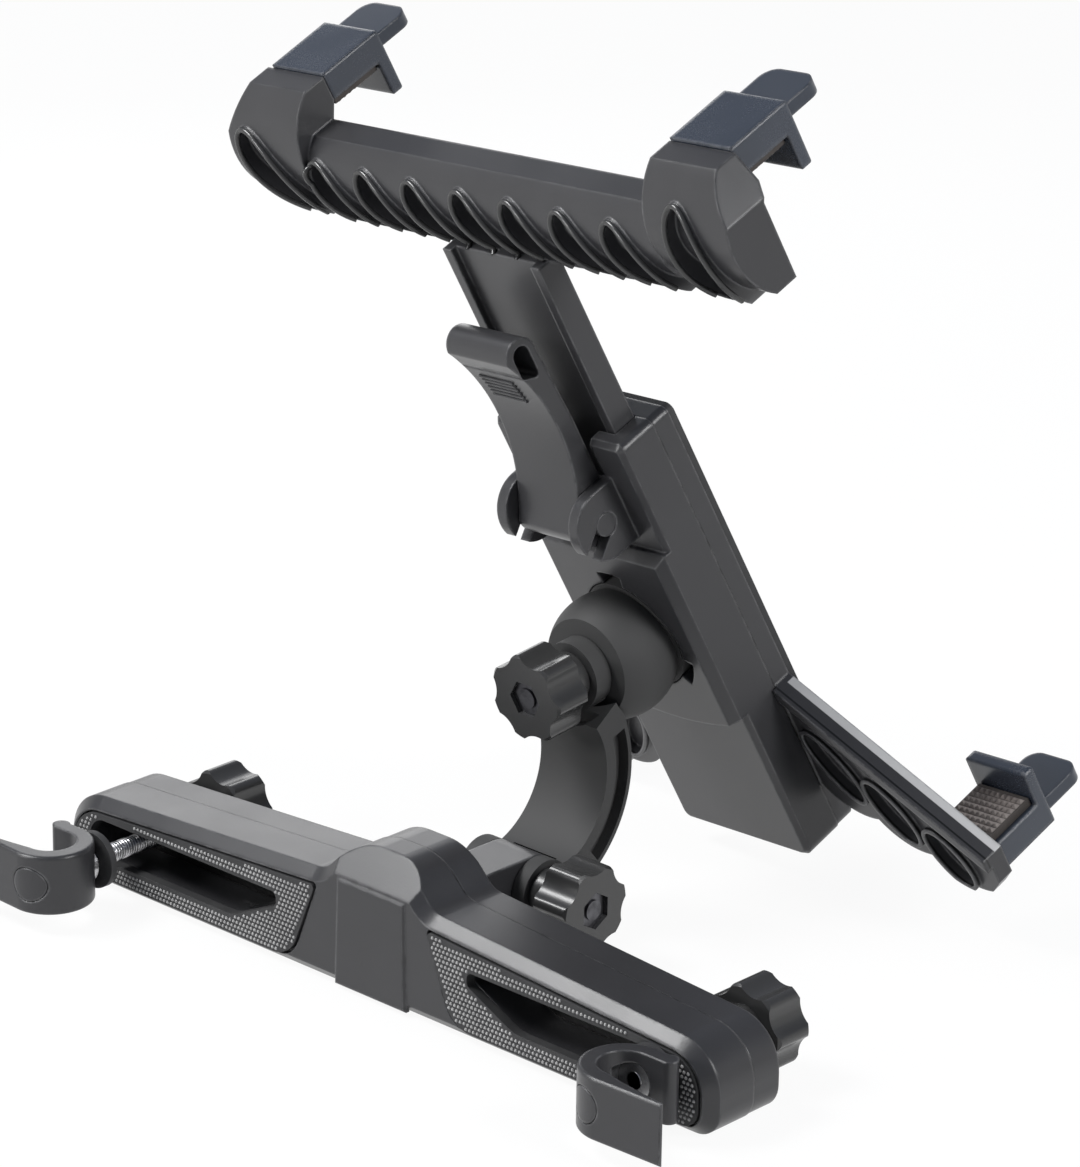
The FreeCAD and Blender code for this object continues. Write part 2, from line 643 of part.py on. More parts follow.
def make_arm():
    """The curved arm with its forked hinge end, side grooves and clamp eye, and the hinge bolt and knob."""
    inner = ARM_BEND_R - ARM_THICKNESS / 2
    outer = ARM_BEND_R + ARM_THICKNESS / 2
    strap = prism_along_x(bend_band(inner, outer, ARM_START_DEG, ARM_END_DEG), -ARM_HALF, ARM_HALF)
    groove_middle = ARM_BEND_R + ARM_GROOVE_OFFSET
    groove_half = ARM_THICKNESS * ARM_GROOVE_SHARE / 2
    groove = bend_band(groove_middle - groove_half, groove_middle + groove_half,
                       ARM_GROOVE_START_DEG, ARM_GROOVE_END_DEG)
    strap = strap.cut(prism_along_x(groove, ARM_HALF - ARM_GROOVE, ARM_HALF + 1))
    strap = strap.cut(prism_along_x(groove, -ARM_HALF - 1, -ARM_HALF + ARM_GROOVE))
    ear = rod(HINGE_EYE_R, HINGE - X_AXIS * ARM_HALF, X_AXIS, 2 * ARM_HALF)
    eye_back = BALL + BALL_AXIS * (BALL_SEAT + SLIP)
    clamp_eye = rod(ARM_EYE_R, eye_back, BALL_AXIS, ARM_EYE)
    arm = strap.fuse(ear).fuse(clamp_eye)
    fork = rod(HINGE_EYE_R + FORK_ROOM, HINGE - X_AXIS * (STUB_HALF + SLIP), X_AXIS, 2 * (STUB_HALF + SLIP))
    arm = arm.cut(fork)
    arm = arm.cut(rod(BOLT_BORE_R, HINGE - X_AXIS * (ARM_HALF + 1), X_AXIS, 2 * ARM_HALF + 2))
    arm = arm.cut(rod(BOLT_BORE_R, eye_back - BALL_AXIS, BALL_AXIS, ARM_EYE + 2))
    seat_r = math.sqrt(BALL_R ** 2 - BALL_SEAT ** 2)
    seat_space = rod(seat_r + SLIP, eye_back, -BALL_AXIS, BALL_R)
    arm = arm.cut(seat_space)
    ball_space = Part.makeSphere(BALL_R + 2 * SLIP, BALL)
    ball_space = ball_space.cut(rod(ARM_EYE_R + SLIP, eye_back, BALL_AXIS, BALL_R))
    arm = arm.cut(ball_space)
    knob_space = rod(KNOB_R + 2 * SLIP, eye_back + BALL_AXIS * ARM_EYE, BALL_AXIS, 2 * KNOB_LENGTH)
    arm = arm.cut(knob_space)
    nodes["tilt_arm"] = arm.removeSplitter()

    head_start = HINGE - X_AXIS * ARM_HALF
    knob_seat = HINGE + X_AXIS * (ARM_HALF + SLIP)
    bolt_length = 2 * ARM_HALF + SLIP + KNOB_LENGTH - NUT_SINK + BOLT_END
    head = place(hexagon(HEX_ACROSS, 0, HEX_HEAD), head_start, -X_AXIS)
    nodes["tilt_bolt"] = head.fuse(rod(BOLT_R, head_start, X_AXIS, bolt_length))
    nodes["tilt_knob"] = place(star_knob(), knob_seat, X_AXIS)
    nodes["tilt_nut"] = place(knob_nut(), knob_seat, X_AXIS)


def socket_tool(radius, lug_radius, low, high, turn_deg):
    """Round disc with bayonet lugs about the n axis through the ball, between two n levels."""
    centre = Vec(0, low, BALL_V)
    tool = rod(radius, centre, Y_AXIS, high - low)
    for k in range(LUG_COUNT):
        angle = math.radians(90 + turn_deg + k * 360 / LUG_COUNT)
        half = math.radians(LUG_HALF_DEG)
        corners = [(0, BALL_V, 0)]
        for edge in (-half, half):
            reach = 2 * lug_radius
            corners.append((reach * math.cos(angle + edge), BALL_V + reach * math.sin(angle + edge), 0))
        wedge = prism_along_y(outline(corners), low, high)
        tool = tool.fuse(wedge.common(rod(lug_radius, centre, Y_AXIS, high - low)))
    return tool


def make_ball_mount():
    """The ball with its clamp seat and bayonet base, the clamp bolt in it, and the clamp knob."""
    to_local = CRADLE.inverse()
    seat_dir = to_local.Rotation.multVec(BALL_AXIS)
    ball = Part.makeSphere(BALL_R, BALL_IN_CRADLE)
    seat_cut = rod(2 * BALL_R, BALL_IN_CRADLE + seat_dir * BALL_SEAT, seat_dir, BALL_R)
    ball = ball.cut(seat_cut)
    base_n = -SOCKET_LIP + SLIP
    reach = 2 * BALL_R
    ball = ball.cut(box((-reach, base_n, BALL_V - reach), (reach, reach, BALL_V + reach)))
    neck = rod(BALL_BASE_R, Vec(0, -BALL_STANDOFF, BALL_V), Y_AXIS, BALL_STANDOFF + LUG_THICKNESS)
    flange = rod(FLANGE_R, Vec(0, -PLATE_PROUD, BALL_V), Y_AXIS, PLATE_PROUD + LUG_THICKNESS)
    lugs = socket_tool(FLANGE_R, LUG_R, 0, LUG_THICKNESS, LUG_TURN_DEG)
    mount = ball.fuse(neck).fuse(flange).fuse(lugs)
    head_at = BALL_IN_CRADLE + seat_dir * (BALL_SEAT - BALL_BOLT_SINK)
    well = place(hexagon(HEX_ACROSS + 2 * BOLT_PLAY, 0, HEX_HEAD + BOLT_PLAY), head_at, seat_dir)
    hole = rod(BOLT_BORE_R, head_at, seat_dir, BALL_BOLT_SINK + 2)
    mount = mount.cut(well).cut(hole)
    nodes["ball_mount"] = in_cradle(mount.removeSplitter())
    bolt_length = BALL_BOLT_SINK + SLIP + ARM_EYE + SLIP + KNOB_LENGTH - NUT_SINK + BOLT_END
    bolt = hexagon(HEX_ACROSS, 0, HEX_HEAD).fuse(rod(BOLT_R, Vec(0, 0, 0), Z_AXIS, bolt_length))
    nodes["ball_bolt"] = place(bolt, BALL + BALL_AXIS * (BALL_SEAT - BALL_BOLT_SINK), BALL_AXIS)
    knob_seat = BALL + BALL_AXIS * (BALL_SEAT + SLIP + ARM_EYE + SLIP)
    nodes["ball_knob"] = place(star_knob(), knob_seat, BALL_AXIS)
    nodes["ball_nut"] = place(knob_nut(), knob_seat, BALL_AXIS)


def plate_outline():
    """Raised ball plate seen from behind: full body width, straight top, foot bulging down as an arc."""
    return arc_outline([
        (-BODY_HALF, PLATE_TOP),
        (-BODY_HALF, PLATE_LOW),
        (0, PLATE_LOW - PLATE_BULGE, BODY_HALF, PLATE_LOW),
        (BODY_HALF, PLATE_TOP),
    ])


def cover_screw_places():
    """Front-cover screw centres as (u, v), beside the stem channel and below it."""
    side = BODY_HALF - SCREW_EDGE
    places = []
    for v in (SCREW_FOOT_V, BODY_LENGTH - SCREW_TOP):
        places.append((side, v))
        places.append((-side, v))
    return places


def make_back_cover():
    """Back cover: box with the ball plate, bayonet socket, stem channel, lever throat and two snap ears."""
    section = outline([
        (-BODY_HALF, 0, BODY_FOOT_CORNER_R), (BODY_HALF, 0, BODY_FOOT_CORNER_R),
        (BODY_HALF, BODY_LENGTH, BODY_TOP_CORNER_R), (-BODY_HALF, BODY_LENGTH, BODY_TOP_CORNER_R),
    ])
    cover = prism_along_y(section, 0, BACK_DEPTH)
    back_rim = edges_where(cover, lambda p: abs(p.y) < 0.01)
    cover = cover.makeChamfer(BODY_EDGE, back_rim)
    plate = prism_along_y(plate_outline(), -PLATE_PROUD, BODY_EDGE + 1)
    back_edges = edges_where(plate, lambda p: abs(p.y + PLATE_PROUD) < 0.01 and p.z > PLATE_LOW)
    plate = plate.makeChamfer(PLATE_CHAMFER, back_edges)
    cover = cover.fuse(plate)
    channel = box((-STEM_HALF - SLIP, STEM_BACK_N - SLIP, CHANNEL_FOOT_V),
                  (STEM_HALF + SLIP, BACK_DEPTH + 1, BODY_LENGTH + 1))
    throat_foot = BODY_LENGTH - THROAT_DEPTH
    throat = prism_along_y(outline([
        (-THROAT_HALF, throat_foot, THROAT_CORNER_R), (THROAT_HALF, throat_foot, THROAT_CORNER_R),
        (THROAT_HALF, BODY_LENGTH + 2, 0), (-THROAT_HALF, BODY_LENGTH + 2, 0),
    ]), -1, STEM_BACK_N)
    cover = cover.cut(channel).cut(throat)
    cover = cover.cut(socket_tool(FLANGE_R + SLIP, LUG_R + SLIP, -PLATE_PROUD - 1, 0, 0))
    lip_floor = LUG_THICKNESS + SLIP
    cover = cover.cut(rod(LUG_R + SLIP, Vec(0, -SLIP, BALL_V), Y_AXIS, lip_floor + SLIP))
    for sign in (1, -1):
        inner = LEVER_HALF + SLIP
        start = inner if sign > 0 else -inner - EAR_THICKNESS
        disc = rod(EAR_R, Vec(start, EAR_N, EAR_V), X_AXIS, EAR_THICKNESS)
        foot = box((start, EAR_N, EAR_V - EAR_R), (start + EAR_THICKNESS, 0.5, EAR_V + EAR_R))
        ear = disc.fuse(foot)
        bore = rod(TRUNNION_R + BOLT_PLAY, Vec(start - 1, EAR_N, EAR_V), X_AXIS, EAR_THICKNESS + 2)
        gap = EAR_MOUTH / 2
        mouth = box((start - 1, EAR_N - 2 * EAR_R, -gap), (start + EAR_THICKNESS + 1, EAR_N, gap))
        mouth.rotate(Vec(0, EAR_N, 0), X_AXIS, EAR_MOUTH_DEG)
        mouth.translate(Vec(0, 0, EAR_V))
        cover = cover.fuse(ear.cut(bore).cut(mouth))
    for u, v in cover_screw_places():
        cover = cover.cut(rod(COVER_SCREW_R + BOLT_PLAY, Vec(u, SCREW_HOLE_N, v), Y_AXIS, BACK_DEPTH))
    nodes["back_cover"] = in_cradle(cover.removeSplitter())


def wing_outline(shrink):
    """Right-hand wing seen from behind: straight top rim, scalloped foot, square tip."""
    tip = WING_HALF - shrink
    here = (BODY_HALF, WING_ROOT_FOOT_V + shrink)
    steps = [(WING_ROOT_U, WING_ROOT_TOP_V - shrink), (WING_ROOT_U, WING_ROOT_FOOT_V + shrink), here]
    foot_run = tip - WING_TIP_CORNER - BODY_HALF
    for k in range(WING_LEAVES):
        share = (k + 1) / WING_LEAVES
        end_u = BODY_HALF + foot_run * share
        end_v = WING_ROOT_FOOT_V + (WING_TIP_FOOT_V - WING_ROOT_FOOT_V) * share + shrink
        middle = ((here[0] + end_u) / 2 + WING_SCALLOP / 3, (here[1] + end_v) / 2 - WING_SCALLOP)
        steps.append(middle + (end_u, end_v))
        here = (end_u, end_v)
    steps.append((tip, WING_TIP_FOOT_V + WING_TIP_CORNER + shrink))
    steps.append((tip, WING_TIP_TOP_V - shrink))
    return arc_outline(steps)


def wing():
    """Right-hand lower wing with its rim, leaf hollows, rounded root and forward tongue."""
    front = BODY_DEPTH
    plate = prism_along_y(wing_outline(0), WING_BACK_N, front)
    rise = WING_ROOT_TOP_V - WING_TIP_TOP_V
    slope = math.atan2(rise, WING_HALF - WING_ROOT_U)
    thick = WING_RIM / math.cos(slope)
    rim = prism_along_y(outline([
        (WING_ROOT_U, WING_ROOT_TOP_V, 0), (WING_ROOT_U, WING_ROOT_TOP_V - thick, 0),
        (WING_HALF, WING_TIP_TOP_V - thick, 0), (WING_HALF, WING_TIP_TOP_V, 0),
    ]), WING_BACK_N - WING_RIM_PROUD, front)
    shape = plate.fuse(rim)
    for k in range(WING_LEAVES):
        share = (k + WING_LEAF_START) / WING_LEAVES
        u = BODY_HALF + (WING_HALF - WING_LEAF_MARGIN - BODY_HALF) * share
        v = (WING_ROOT_TOP_V + WING_ROOT_FOOT_V) / 2
        v += ((WING_TIP_TOP_V + WING_TIP_FOOT_V) / 2 - v) * share - WING_LEAF_DROP
        leaf_length = LEAF_LENGTH * (1 - WING_LEAF_SHRINK * share)
        ring_n = WING_BACK_N - LEAF_PROUD
        ring = ellipse_bar(leaf_length, LEAF_WIDTH, (u, v), LEAF_SLANT_DEG, ring_n, front)
        keep = prism_along_y(wing_outline(0.2), ring_n - 1, front)
        shape = shape.fuse(ring.common(keep))
        hollow = ellipse_bar(leaf_length - LEAF_RIM, LEAF_WIDTH - LEAF_RIM, (u, v), LEAF_SLANT_DEG,
                             WING_BACK_N - 2 * WING_RIM_PROUD, WING_BACK_N + WING_LEAF_DEEP)
        shape = shape.cut(hollow)
    return shape.fuse(tongue(LOWER_CLIP_U, LOWER_TONGUE_V, front - 1, LOWER_TONGUE_REACH))


def tongue(centre_u, centre_v, start_n, end_n):
    """Flat tongue along n with rounded tip corners, for one edge clip."""
    half = TONGUE_WIDTH / 2
    wire = outline([
        (centre_u - half, start_n, 0), (centre_u + half, start_n, 0),
        (centre_u + half, end_n, TONGUE_TIP_R), (centre_u - half, end_n, TONGUE_TIP_R),
    ])
    return prism_along_z(wire, centre_v - TONGUE_THICKNESS / 2, centre_v + TONGUE_THICKNESS / 2)


def make_front_cover():
    """Front cover with both lower wings, the rubber front pad and the cover screws."""
    groove = SEAM_GROOVE / 2
    section = outline([
        (-BODY_HALF + groove, groove, BODY_FOOT_CORNER_R), (BODY_HALF - groove, groove, BODY_FOOT_CORNER_R),
        (BODY_HALF - groove, BODY_LENGTH - groove, BODY_TOP_CORNER_R),
        (-BODY_HALF + groove, BODY_LENGTH - groove, BODY_TOP_CORNER_R),
    ])
    cover = prism_along_y(section, BACK_DEPTH, BODY_DEPTH)
    one_wing = wing()
    back_clear = box((0, -1, -BODY_LENGTH), (BODY_HALF + SLIP, BACK_DEPTH, BODY_LENGTH))
    one_wing = one_wing.cut(back_clear)
    cover = cover.fuse(one_wing).fuse(mirror_x(one_wing))
    pad_half = BODY_HALF - FRONT_PAD_RIM
    pad_top = BODY_LENGTH - FRONT_PAD_RIM
    pad = prism_along_y(outline([
        (-pad_half, FRONT_PAD_RIM, FRONT_PAD_CORNER_R), (pad_half, FRONT_PAD_RIM, FRONT_PAD_CORNER_R),
        (pad_half, pad_top, FRONT_PAD_CORNER_R), (-pad_half, pad_top, FRONT_PAD_CORNER_R),
    ]), BODY_DEPTH, BODY_DEPTH + FRONT_PAD)
    screws = []
    for u, v in cover_screw_places():
        seat_n = BODY_DEPTH - COVER_SCREW_HEAD - SCREW_SINK
        cover = cover.cut(rod(COVER_SCREW_HEAD_R + BOLT_PLAY, Vec(u, seat_n, v), Y_AXIS, FRONT_DEPTH))
        cover = cover.cut(rod(COVER_SCREW_R + BOLT_PLAY, Vec(u, 0, v), Y_AXIS, BODY_DEPTH))
        head = rod(COVER_SCREW_HEAD_R, Vec(u, seat_n, v), Y_AXIS, COVER_SCREW_HEAD)
        shank = rod(COVER_SCREW_R, Vec(u, seat_n - COVER_SCREW_LENGTH, v), Y_AXIS, COVER_SCREW_LENGTH)
        screws.append(in_cradle(head.fuse(shank)))
    nodes["front_cover"] = in_cradle(cover.removeSplitter())
    nodes["front_pad"] = in_cradle(pad)
    nodes["cover_screws"] = Part.makeCompound(screws)


def make_lever():
    """Slide lever: hub with two trunnions, concave thumb face and a hollow finger curl."""
    top_v = EAR_V + LEVER_LENGTH
    curl_v = top_v - LEVER_CURL_R
    back_n = EAR_N - LEVER_HUB_R
    curl_back = LEVER_CURL_N - LEVER_CURL_R
    waist_v = EAR_V + LEVER_LENGTH / 2
    waist_back = LEVER_CURL_N + LEVER_HOLLOW
    hub_45 = LEVER_HUB_R * math.sqrt(0.5)
    front_n = waist_back + LEVER_WAIST
    section = arc_outline([
        (EAR_N, EAR_V - LEVER_HUB_R),
        (EAR_N + hub_45, EAR_V - hub_45, EAR_N + LEVER_HUB_R, EAR_V),
        (front_n, waist_v),
        (LEVER_CURL_N + LEVER_CURL_R, curl_v - LEVER_EYE_WALL),
        (LEVER_CURL_N + LEVER_CURL_R, curl_v),
        (LEVER_CURL_N, top_v, curl_back, curl_v),
        (waist_back, waist_v, back_n, EAR_V),
        (EAR_N - hub_45, EAR_V - hub_45, EAR_N, EAR_V - LEVER_HUB_R),
    ])
    lever = prism_along_x(section, -LEVER_HALF, LEVER_HALF)
    hole_r = LEVER_CURL_R - LEVER_EYE_WALL
    hole_foot = curl_v - LEVER_EYE_LENGTH
    hole_back = LEVER_CURL_N - hole_r
    hole_front = LEVER_CURL_N + hole_r
    hole = prism_along_x(outline([
        (hole_back, curl_v + hole_r, hole_r - 0.05),
        (hole_back, hole_foot + hole_r, LEVER_EYE_CORNER_R),
        (hole_front, hole_foot, LEVER_EYE_CORNER_R),
        (hole_front, curl_v + hole_r, hole_r - 0.05),
    ]), -LEVER_HALF - 1, LEVER_HALF + 1)
    lever = lever.cut(hole)
    reach = LEVER_HALF + SLIP + EAR_THICKNESS
    lever = lever.fuse(rod(TRUNNION_R, Vec(-reach, EAR_N, EAR_V), X_AXIS, 2 * reach))
    nodes["slide_lever"] = in_cradle(lever.removeSplitter())


def grip_profile(grow, drop):
    """Crossbar section in (n, v): flat front and top, rounded back."""
    back = GRIP_BACK_N - grow
    low = GRIP_FOOT_V - drop
    high = GRIP_TOP_V + min(grow, 0)
    middle = (low + high) / 2 - 2.0
    front = GRIP_FRONT_N + min(grow, 0)
    return arc_outline([
        (front, low),
        (back + 6.0, low),
        (back, middle, back + 5.5, high),
        (front, high),
    ])


def shoulder_profile(grow, drop):
    """End-arm section in (n, v): back sweeps up and forward to the tongue."""
    back = GRIP_BACK_N - grow
    low = GRIP_FOOT_V - drop
    top = UPPER_TONGUE_V + CLIP_HALF_V - 0.6 + min(grow, 0)
    inner = UPPER_TONGUE_V - CLIP_HALF_V
    front = GRIP_SHOULDER_N + min(grow, 0)
    return arc_outline([
        (GRIP_FRONT_N + min(grow, 0), low),
        (back + 6.0, low),
        (back - 0.5, (low + top) / 2 - 2.0, back + 8.5, top),
        (front, top),
        (front, inner - min(grow, 0)),
        (GRIP_FRONT_N + min(grow, 0), inner - 4.0),
    ])


def end_arm(grow, drop):
    """Right-hand end arm block of the upper grip."""
    inner = GRIP_ARM_INNER - grow
    outer = GRIP_HALF + min(grow, 0)
    arm = prism_along_x(shoulder_profile(grow, drop), inner, outer)
    top = UPPER_TONGUE_V + CLIP_HALF_V + 2
    taper = prism_along_y(outline([
        (UPPER_CLIP_U + CLIP_HALF, top, 0), (GRIP_HALF + 3, GRIP_TOP_V - 4.0, 0), (GRIP_HALF + 3, top, 0),
    ]), -UPPER_TONGUE_REACH, UPPER_TONGUE_REACH)
    return arm.cut(taper)


def make_upper_grip():
    """Upper grip in one piece: slide stem, crossbar with leaf hollows, end arms and tongues."""
    span = GRIP_ARM_INNER + 1

    def body(grow, drop):
        bar = prism_along_x(grip_profile(grow, drop), -span, span)
        arm = end_arm(grow, drop)
        return bar.fuse(arm).fuse(mirror_x(arm))

    plain = body(0, 0)
    grown = body(LEAF_PROUD, LEAF_PROUD + LEAF_HANG)
    core = body(-LEAF_DEEP, -LEAF_DEEP)
    pitch = 2 * GRIP_ARM_INNER / GRIP_LEAVES
    centre_v = (GRIP_FOOT_V + GRIP_TOP_V) / 2 - LEAF_DROP
    places = []
    for k in range(GRIP_LEAVES):
        places.append(((k - (GRIP_LEAVES - 1) / 2) * pitch, centre_v, LEAF_SLANT_DEG, 1.0))
    arm_mid = (GRIP_ARM_INNER + GRIP_HALF) / 2
    end_v = centre_v + END_LEAF_RISE
    places.append((arm_mid, end_v, END_LEAF_SLANT_DEG, END_LEAF_SCALE))
    places.append((-arm_mid, end_v, LEAF_SLANT_DEG, END_LEAF_SCALE))
    grip = plain
    leaf_end_n = GRIP_FRONT_N - 2
    hollows = []
    for u, v, slant, scale in places:
        length = LEAF_LENGTH * scale
        width = LEAF_WIDTH * scale
        leaf = ellipse_bar(length, width, (u, v), slant, 0, leaf_end_n)
        grip = grip.fuse(leaf.common(grown))
        hollow = ellipse_bar(length - LEAF_RIM, width - LEAF_RIM, (u, v), slant, 0, leaf_end_n)
        hollows.append(hollow.cut(core))
    for hollow in hollows:
        grip = grip.cut(hollow)
    stem = box((-STEM_HALF, STEM_BACK_N, STEM_FOOT_V), (STEM_HALF, STEM_FRONT_N, GRIP_TOP_V - 6.0))
    recess = box((-STEM_HALF + STEM_FLANGE, STEM_BACK_N - 1, STEM_FOOT_V + STEM_FLANGE),
                 (STEM_HALF - STEM_FLANGE, STEM_BACK_N + STEM_RECESS, GRIP_FOOT_V))
    stem = stem.cut(recess)
    stem_top = box((-STEM_HALF - 1, STEM_BACK_N - 1, GRIP_FOOT_V),
                   (STEM_HALF + 1, GRIP_BACK_N + LEAF_DEEP + 1.0, GRIP_TOP_V))
    stem = stem.cut(stem_top)
    grip = grip.fuse(stem)
    for sign in (1, -1):
        start_n = GRIP_SHOULDER_N - 2
        grip = grip.fuse(tongue(sign * UPPER_CLIP_U, UPPER_TONGUE_V, start_n, UPPER_TONGUE_REACH))
    nodes["upper_grip"] = in_cradle(grip.removeSplitter())


def make_clip(name, centre_u, centre_v, start_n, inward):
    """One edge clip: sleeve on its tongue, far lip, rubber pad inside; inward is +1 up or -1 down."""
    end_n = start_n + CLIP_LENGTH
    low_u = centre_u - CLIP_HALF
    high_u = centre_u + CLIP_HALF
    sleeve = box((low_u, start_n, centre_v - CLIP_HALF_V), (high_u, end_n, centre_v + CLIP_HALF_V))
    face_v = centre_v + inward * CLIP_HALF_V
    lip_v = face_v + inward * CLIP_LIP_HEIGHT
    lip = box((low_u, end_n - CLIP_LIP, min(centre_v, lip_v)), (high_u, end_n, max(centre_v, lip_v)))
    clip = sleeve.fuse(lip).removeSplitter()
    long_edges = edges_where(clip, lambda p: abs(p.y - end_n) < 0.01 or abs(p.z - lip_v) < 0.01)
    clip = clip.makeFillet(CLIP_EDGE, long_edges)
    half = TONGUE_WIDTH / 2 + SLIP
    half_v = TONGUE_THICKNESS / 2 + SLIP
    clip = clip.cut(box((centre_u - half, start_n - 1, centre_v - half_v),
                        (centre_u + half, end_n + 1, centre_v + half_v)))
    pad_far = face_v + inward * CLIP_PAD
    pad = box((low_u + CLIP_WALL, start_n + CLIP_EDGE, min(face_v, pad_far)),
              (high_u - CLIP_WALL, end_n - CLIP_LIP - SLIP, max(face_v, pad_far)))
    nodes[name + "_clip"] = in_cradle(clip)
    nodes[name + "_clip_pad"] = in_cradle(pad)


def make_clips():
    """Four edge clips on the tongues of the upper grip and the lower wings."""
    for side, sign in (("right", 1), ("left", -1)):
        make_clip("upper_" + side, sign * UPPER_CLIP_U, UPPER_TONGUE_V, UPPER_CLIP_START_N, -1)
        make_clip("lower_" + side, sign * LOWER_CLIP_U, LOWER_TONGUE_V, LOWER_CLIP_START_N, 1)


make_bar()
make_hook("right", 1, RIGHT_HOOK_X, RIGHT_HOOK_STANDOFF)
make_hook("left", -1, LEFT_HOOK_X, LEFT_HOOK_STANDOFF)
make_arm()
make_ball_mount()
make_back_cover()
make_front_cover()
make_lever()
make_upper_grip()
make_clips()

os.makedirs("parts", exist_ok=True)
for node, shape in nodes.items():
    shape.exportStep(os.path.join("parts", node + ".step"))
    print(node, len(shape.Solids), shape.isValid(), round(shape.Volume, 1))
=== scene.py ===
"""Looks of the headrest tablet holder: finishes, rubber studs, bolt threads, studio and camera."""
import json
import logging
import math
from dataclasses import dataclass, field, replace
from enum import Enum
from typing import Any, Dict, List, Optional, Sequence, Tuple, Union

import bpy
from mathutils import Matrix, Vector
from mathutils.bvhtree import BVHTree


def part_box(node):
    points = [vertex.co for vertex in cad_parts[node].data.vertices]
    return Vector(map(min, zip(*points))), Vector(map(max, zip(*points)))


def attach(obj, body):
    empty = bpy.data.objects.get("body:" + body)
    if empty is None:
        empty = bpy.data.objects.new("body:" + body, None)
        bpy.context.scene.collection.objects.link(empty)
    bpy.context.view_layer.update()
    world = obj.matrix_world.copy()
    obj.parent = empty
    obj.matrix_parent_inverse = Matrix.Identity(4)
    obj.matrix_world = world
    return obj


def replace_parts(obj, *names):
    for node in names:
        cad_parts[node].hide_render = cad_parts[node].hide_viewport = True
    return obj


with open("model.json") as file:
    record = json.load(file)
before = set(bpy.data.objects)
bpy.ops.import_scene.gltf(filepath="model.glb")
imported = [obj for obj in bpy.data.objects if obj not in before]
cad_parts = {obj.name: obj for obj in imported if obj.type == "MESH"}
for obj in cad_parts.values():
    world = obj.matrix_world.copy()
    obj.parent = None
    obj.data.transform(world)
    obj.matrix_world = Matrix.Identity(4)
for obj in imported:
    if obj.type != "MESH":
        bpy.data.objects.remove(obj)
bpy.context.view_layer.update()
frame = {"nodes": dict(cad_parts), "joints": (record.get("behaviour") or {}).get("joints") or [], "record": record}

LOG = logging.getLogger("tablet_holder")
MM = 0.001
Pair = Tuple[float, float]
Triple = Tuple[float, float, float]
Operand = Union["Value", float]


class Value:
    """A node socket that takes part in Python arithmetic."""

    def __init__(self, book: "NodeBook", socket: bpy.types.NodeSocket) -> None:
        """Keeps the socket and the node book that it belongs to."""
        self.book = book
        self.socket = socket

    def _math(self, operation: str, *operands: Operand) -> "Value":
        """The result of one Math node on the operands."""
        return self.book.node("ShaderNodeMath", {"operation": operation}, dict(enumerate(operands)))

    def __add__(self, other: Operand) -> "Value":
        """Sum."""
        return self._math("ADD", self, other)

    def __radd__(self, other: Operand) -> "Value":
        """Sum with a number on the left."""
        return self._math("ADD", other, self)

    def __sub__(self, other: Operand) -> "Value":
        """Difference."""
        return self._math("SUBTRACT", self, other)

    def __rsub__(self, other: Operand) -> "Value":
        """Difference with a number on the left."""
        return self._math("SUBTRACT", other, self)

    def __mul__(self, other: Operand) -> "Value":
        """Product."""
        return self._math("MULTIPLY", self, other)

    def __rmul__(self, other: Operand) -> "Value":
        """Product with a number on the left."""
        return self._math("MULTIPLY", other, self)

    def __truediv__(self, other: Operand) -> "Value":
        """Quotient."""
        return self._math("DIVIDE", self, other)

    def __rtruediv__(self, other: Operand) -> "Value":
        """Quotient with a number on the left."""
        return self._math("DIVIDE", other, self)

    def __abs__(self) -> "Value":
        """Size without its sign."""
        return self._math("ABSOLUTE", self)

    def dot(self, direction: Union["Value", Triple]) -> "Value":
        """Dot product of a vector socket with a direction."""
        return self.book.node("ShaderNodeVectorMath", {"operation": "DOT_PRODUCT"},
                              {0: self, 1: direction}, "Value")

    def band(self, low: float, high: float) -> "Value":
        """Smooth step from 0 at the low value to 1 at the high one."""
        return self.book.node("ShaderNodeMapRange", {"interpolation_type": "SMOOTHSTEP"},
                              {"Value": self, "From Min": low, "From Max": high})


class NodeBook:
    """Node maker for one material, world or Geometry Nodes tree."""

    def __init__(self, tree: bpy.types.NodeTree) -> None:
        """Empties the tree and keeps it."""
        self.tree = tree
        tree.nodes.clear()

    def node(self, kind: str, settings: Optional[Dict[str, Any]] = None,
             inputs: Optional[Dict[Union[str, int], Any]] = None, output: Union[str, int] = 0) -> Value:
        """Adds any node.

        Args:
            kind: The node's type name.
            settings: Properties of the node, set before its sockets.
            inputs: Values or links by socket name or index; a list links several to one socket.
            output: Name or index of the socket that is handed back.

        Returns:
            The chosen output, or the first input of a node without outputs.
        """
        made = self.tree.nodes.new(kind)
        for name, value in (settings or {}).items():
            setattr(made, name, value)
        for name, value in (inputs or {}).items():
            for one in value if isinstance(value, list) else [value]:
                if isinstance(one, Value):
                    self.tree.links.new(one.socket, made.inputs[name])
                else:
                    made.inputs[name].default_value = one
        return Value(self, made.outputs[output] if made.outputs else made.inputs[0])

    def mix(self, share: Operand, *sides: Union[Value, Triple]) -> Value:
        """Mixes two colours.

        Args:
            share: 0 for the first colour, 1 for the second.
            sides: The two colours or links.

        Returns:
            The mixed colour.
        """
        first, second = [side if isinstance(side, Value) else (*side, 1.0) for side in sides]
        return self.node("ShaderNodeMix", {"data_type": "RGBA"}, {0: share, 6: first, 7: second}, 2)


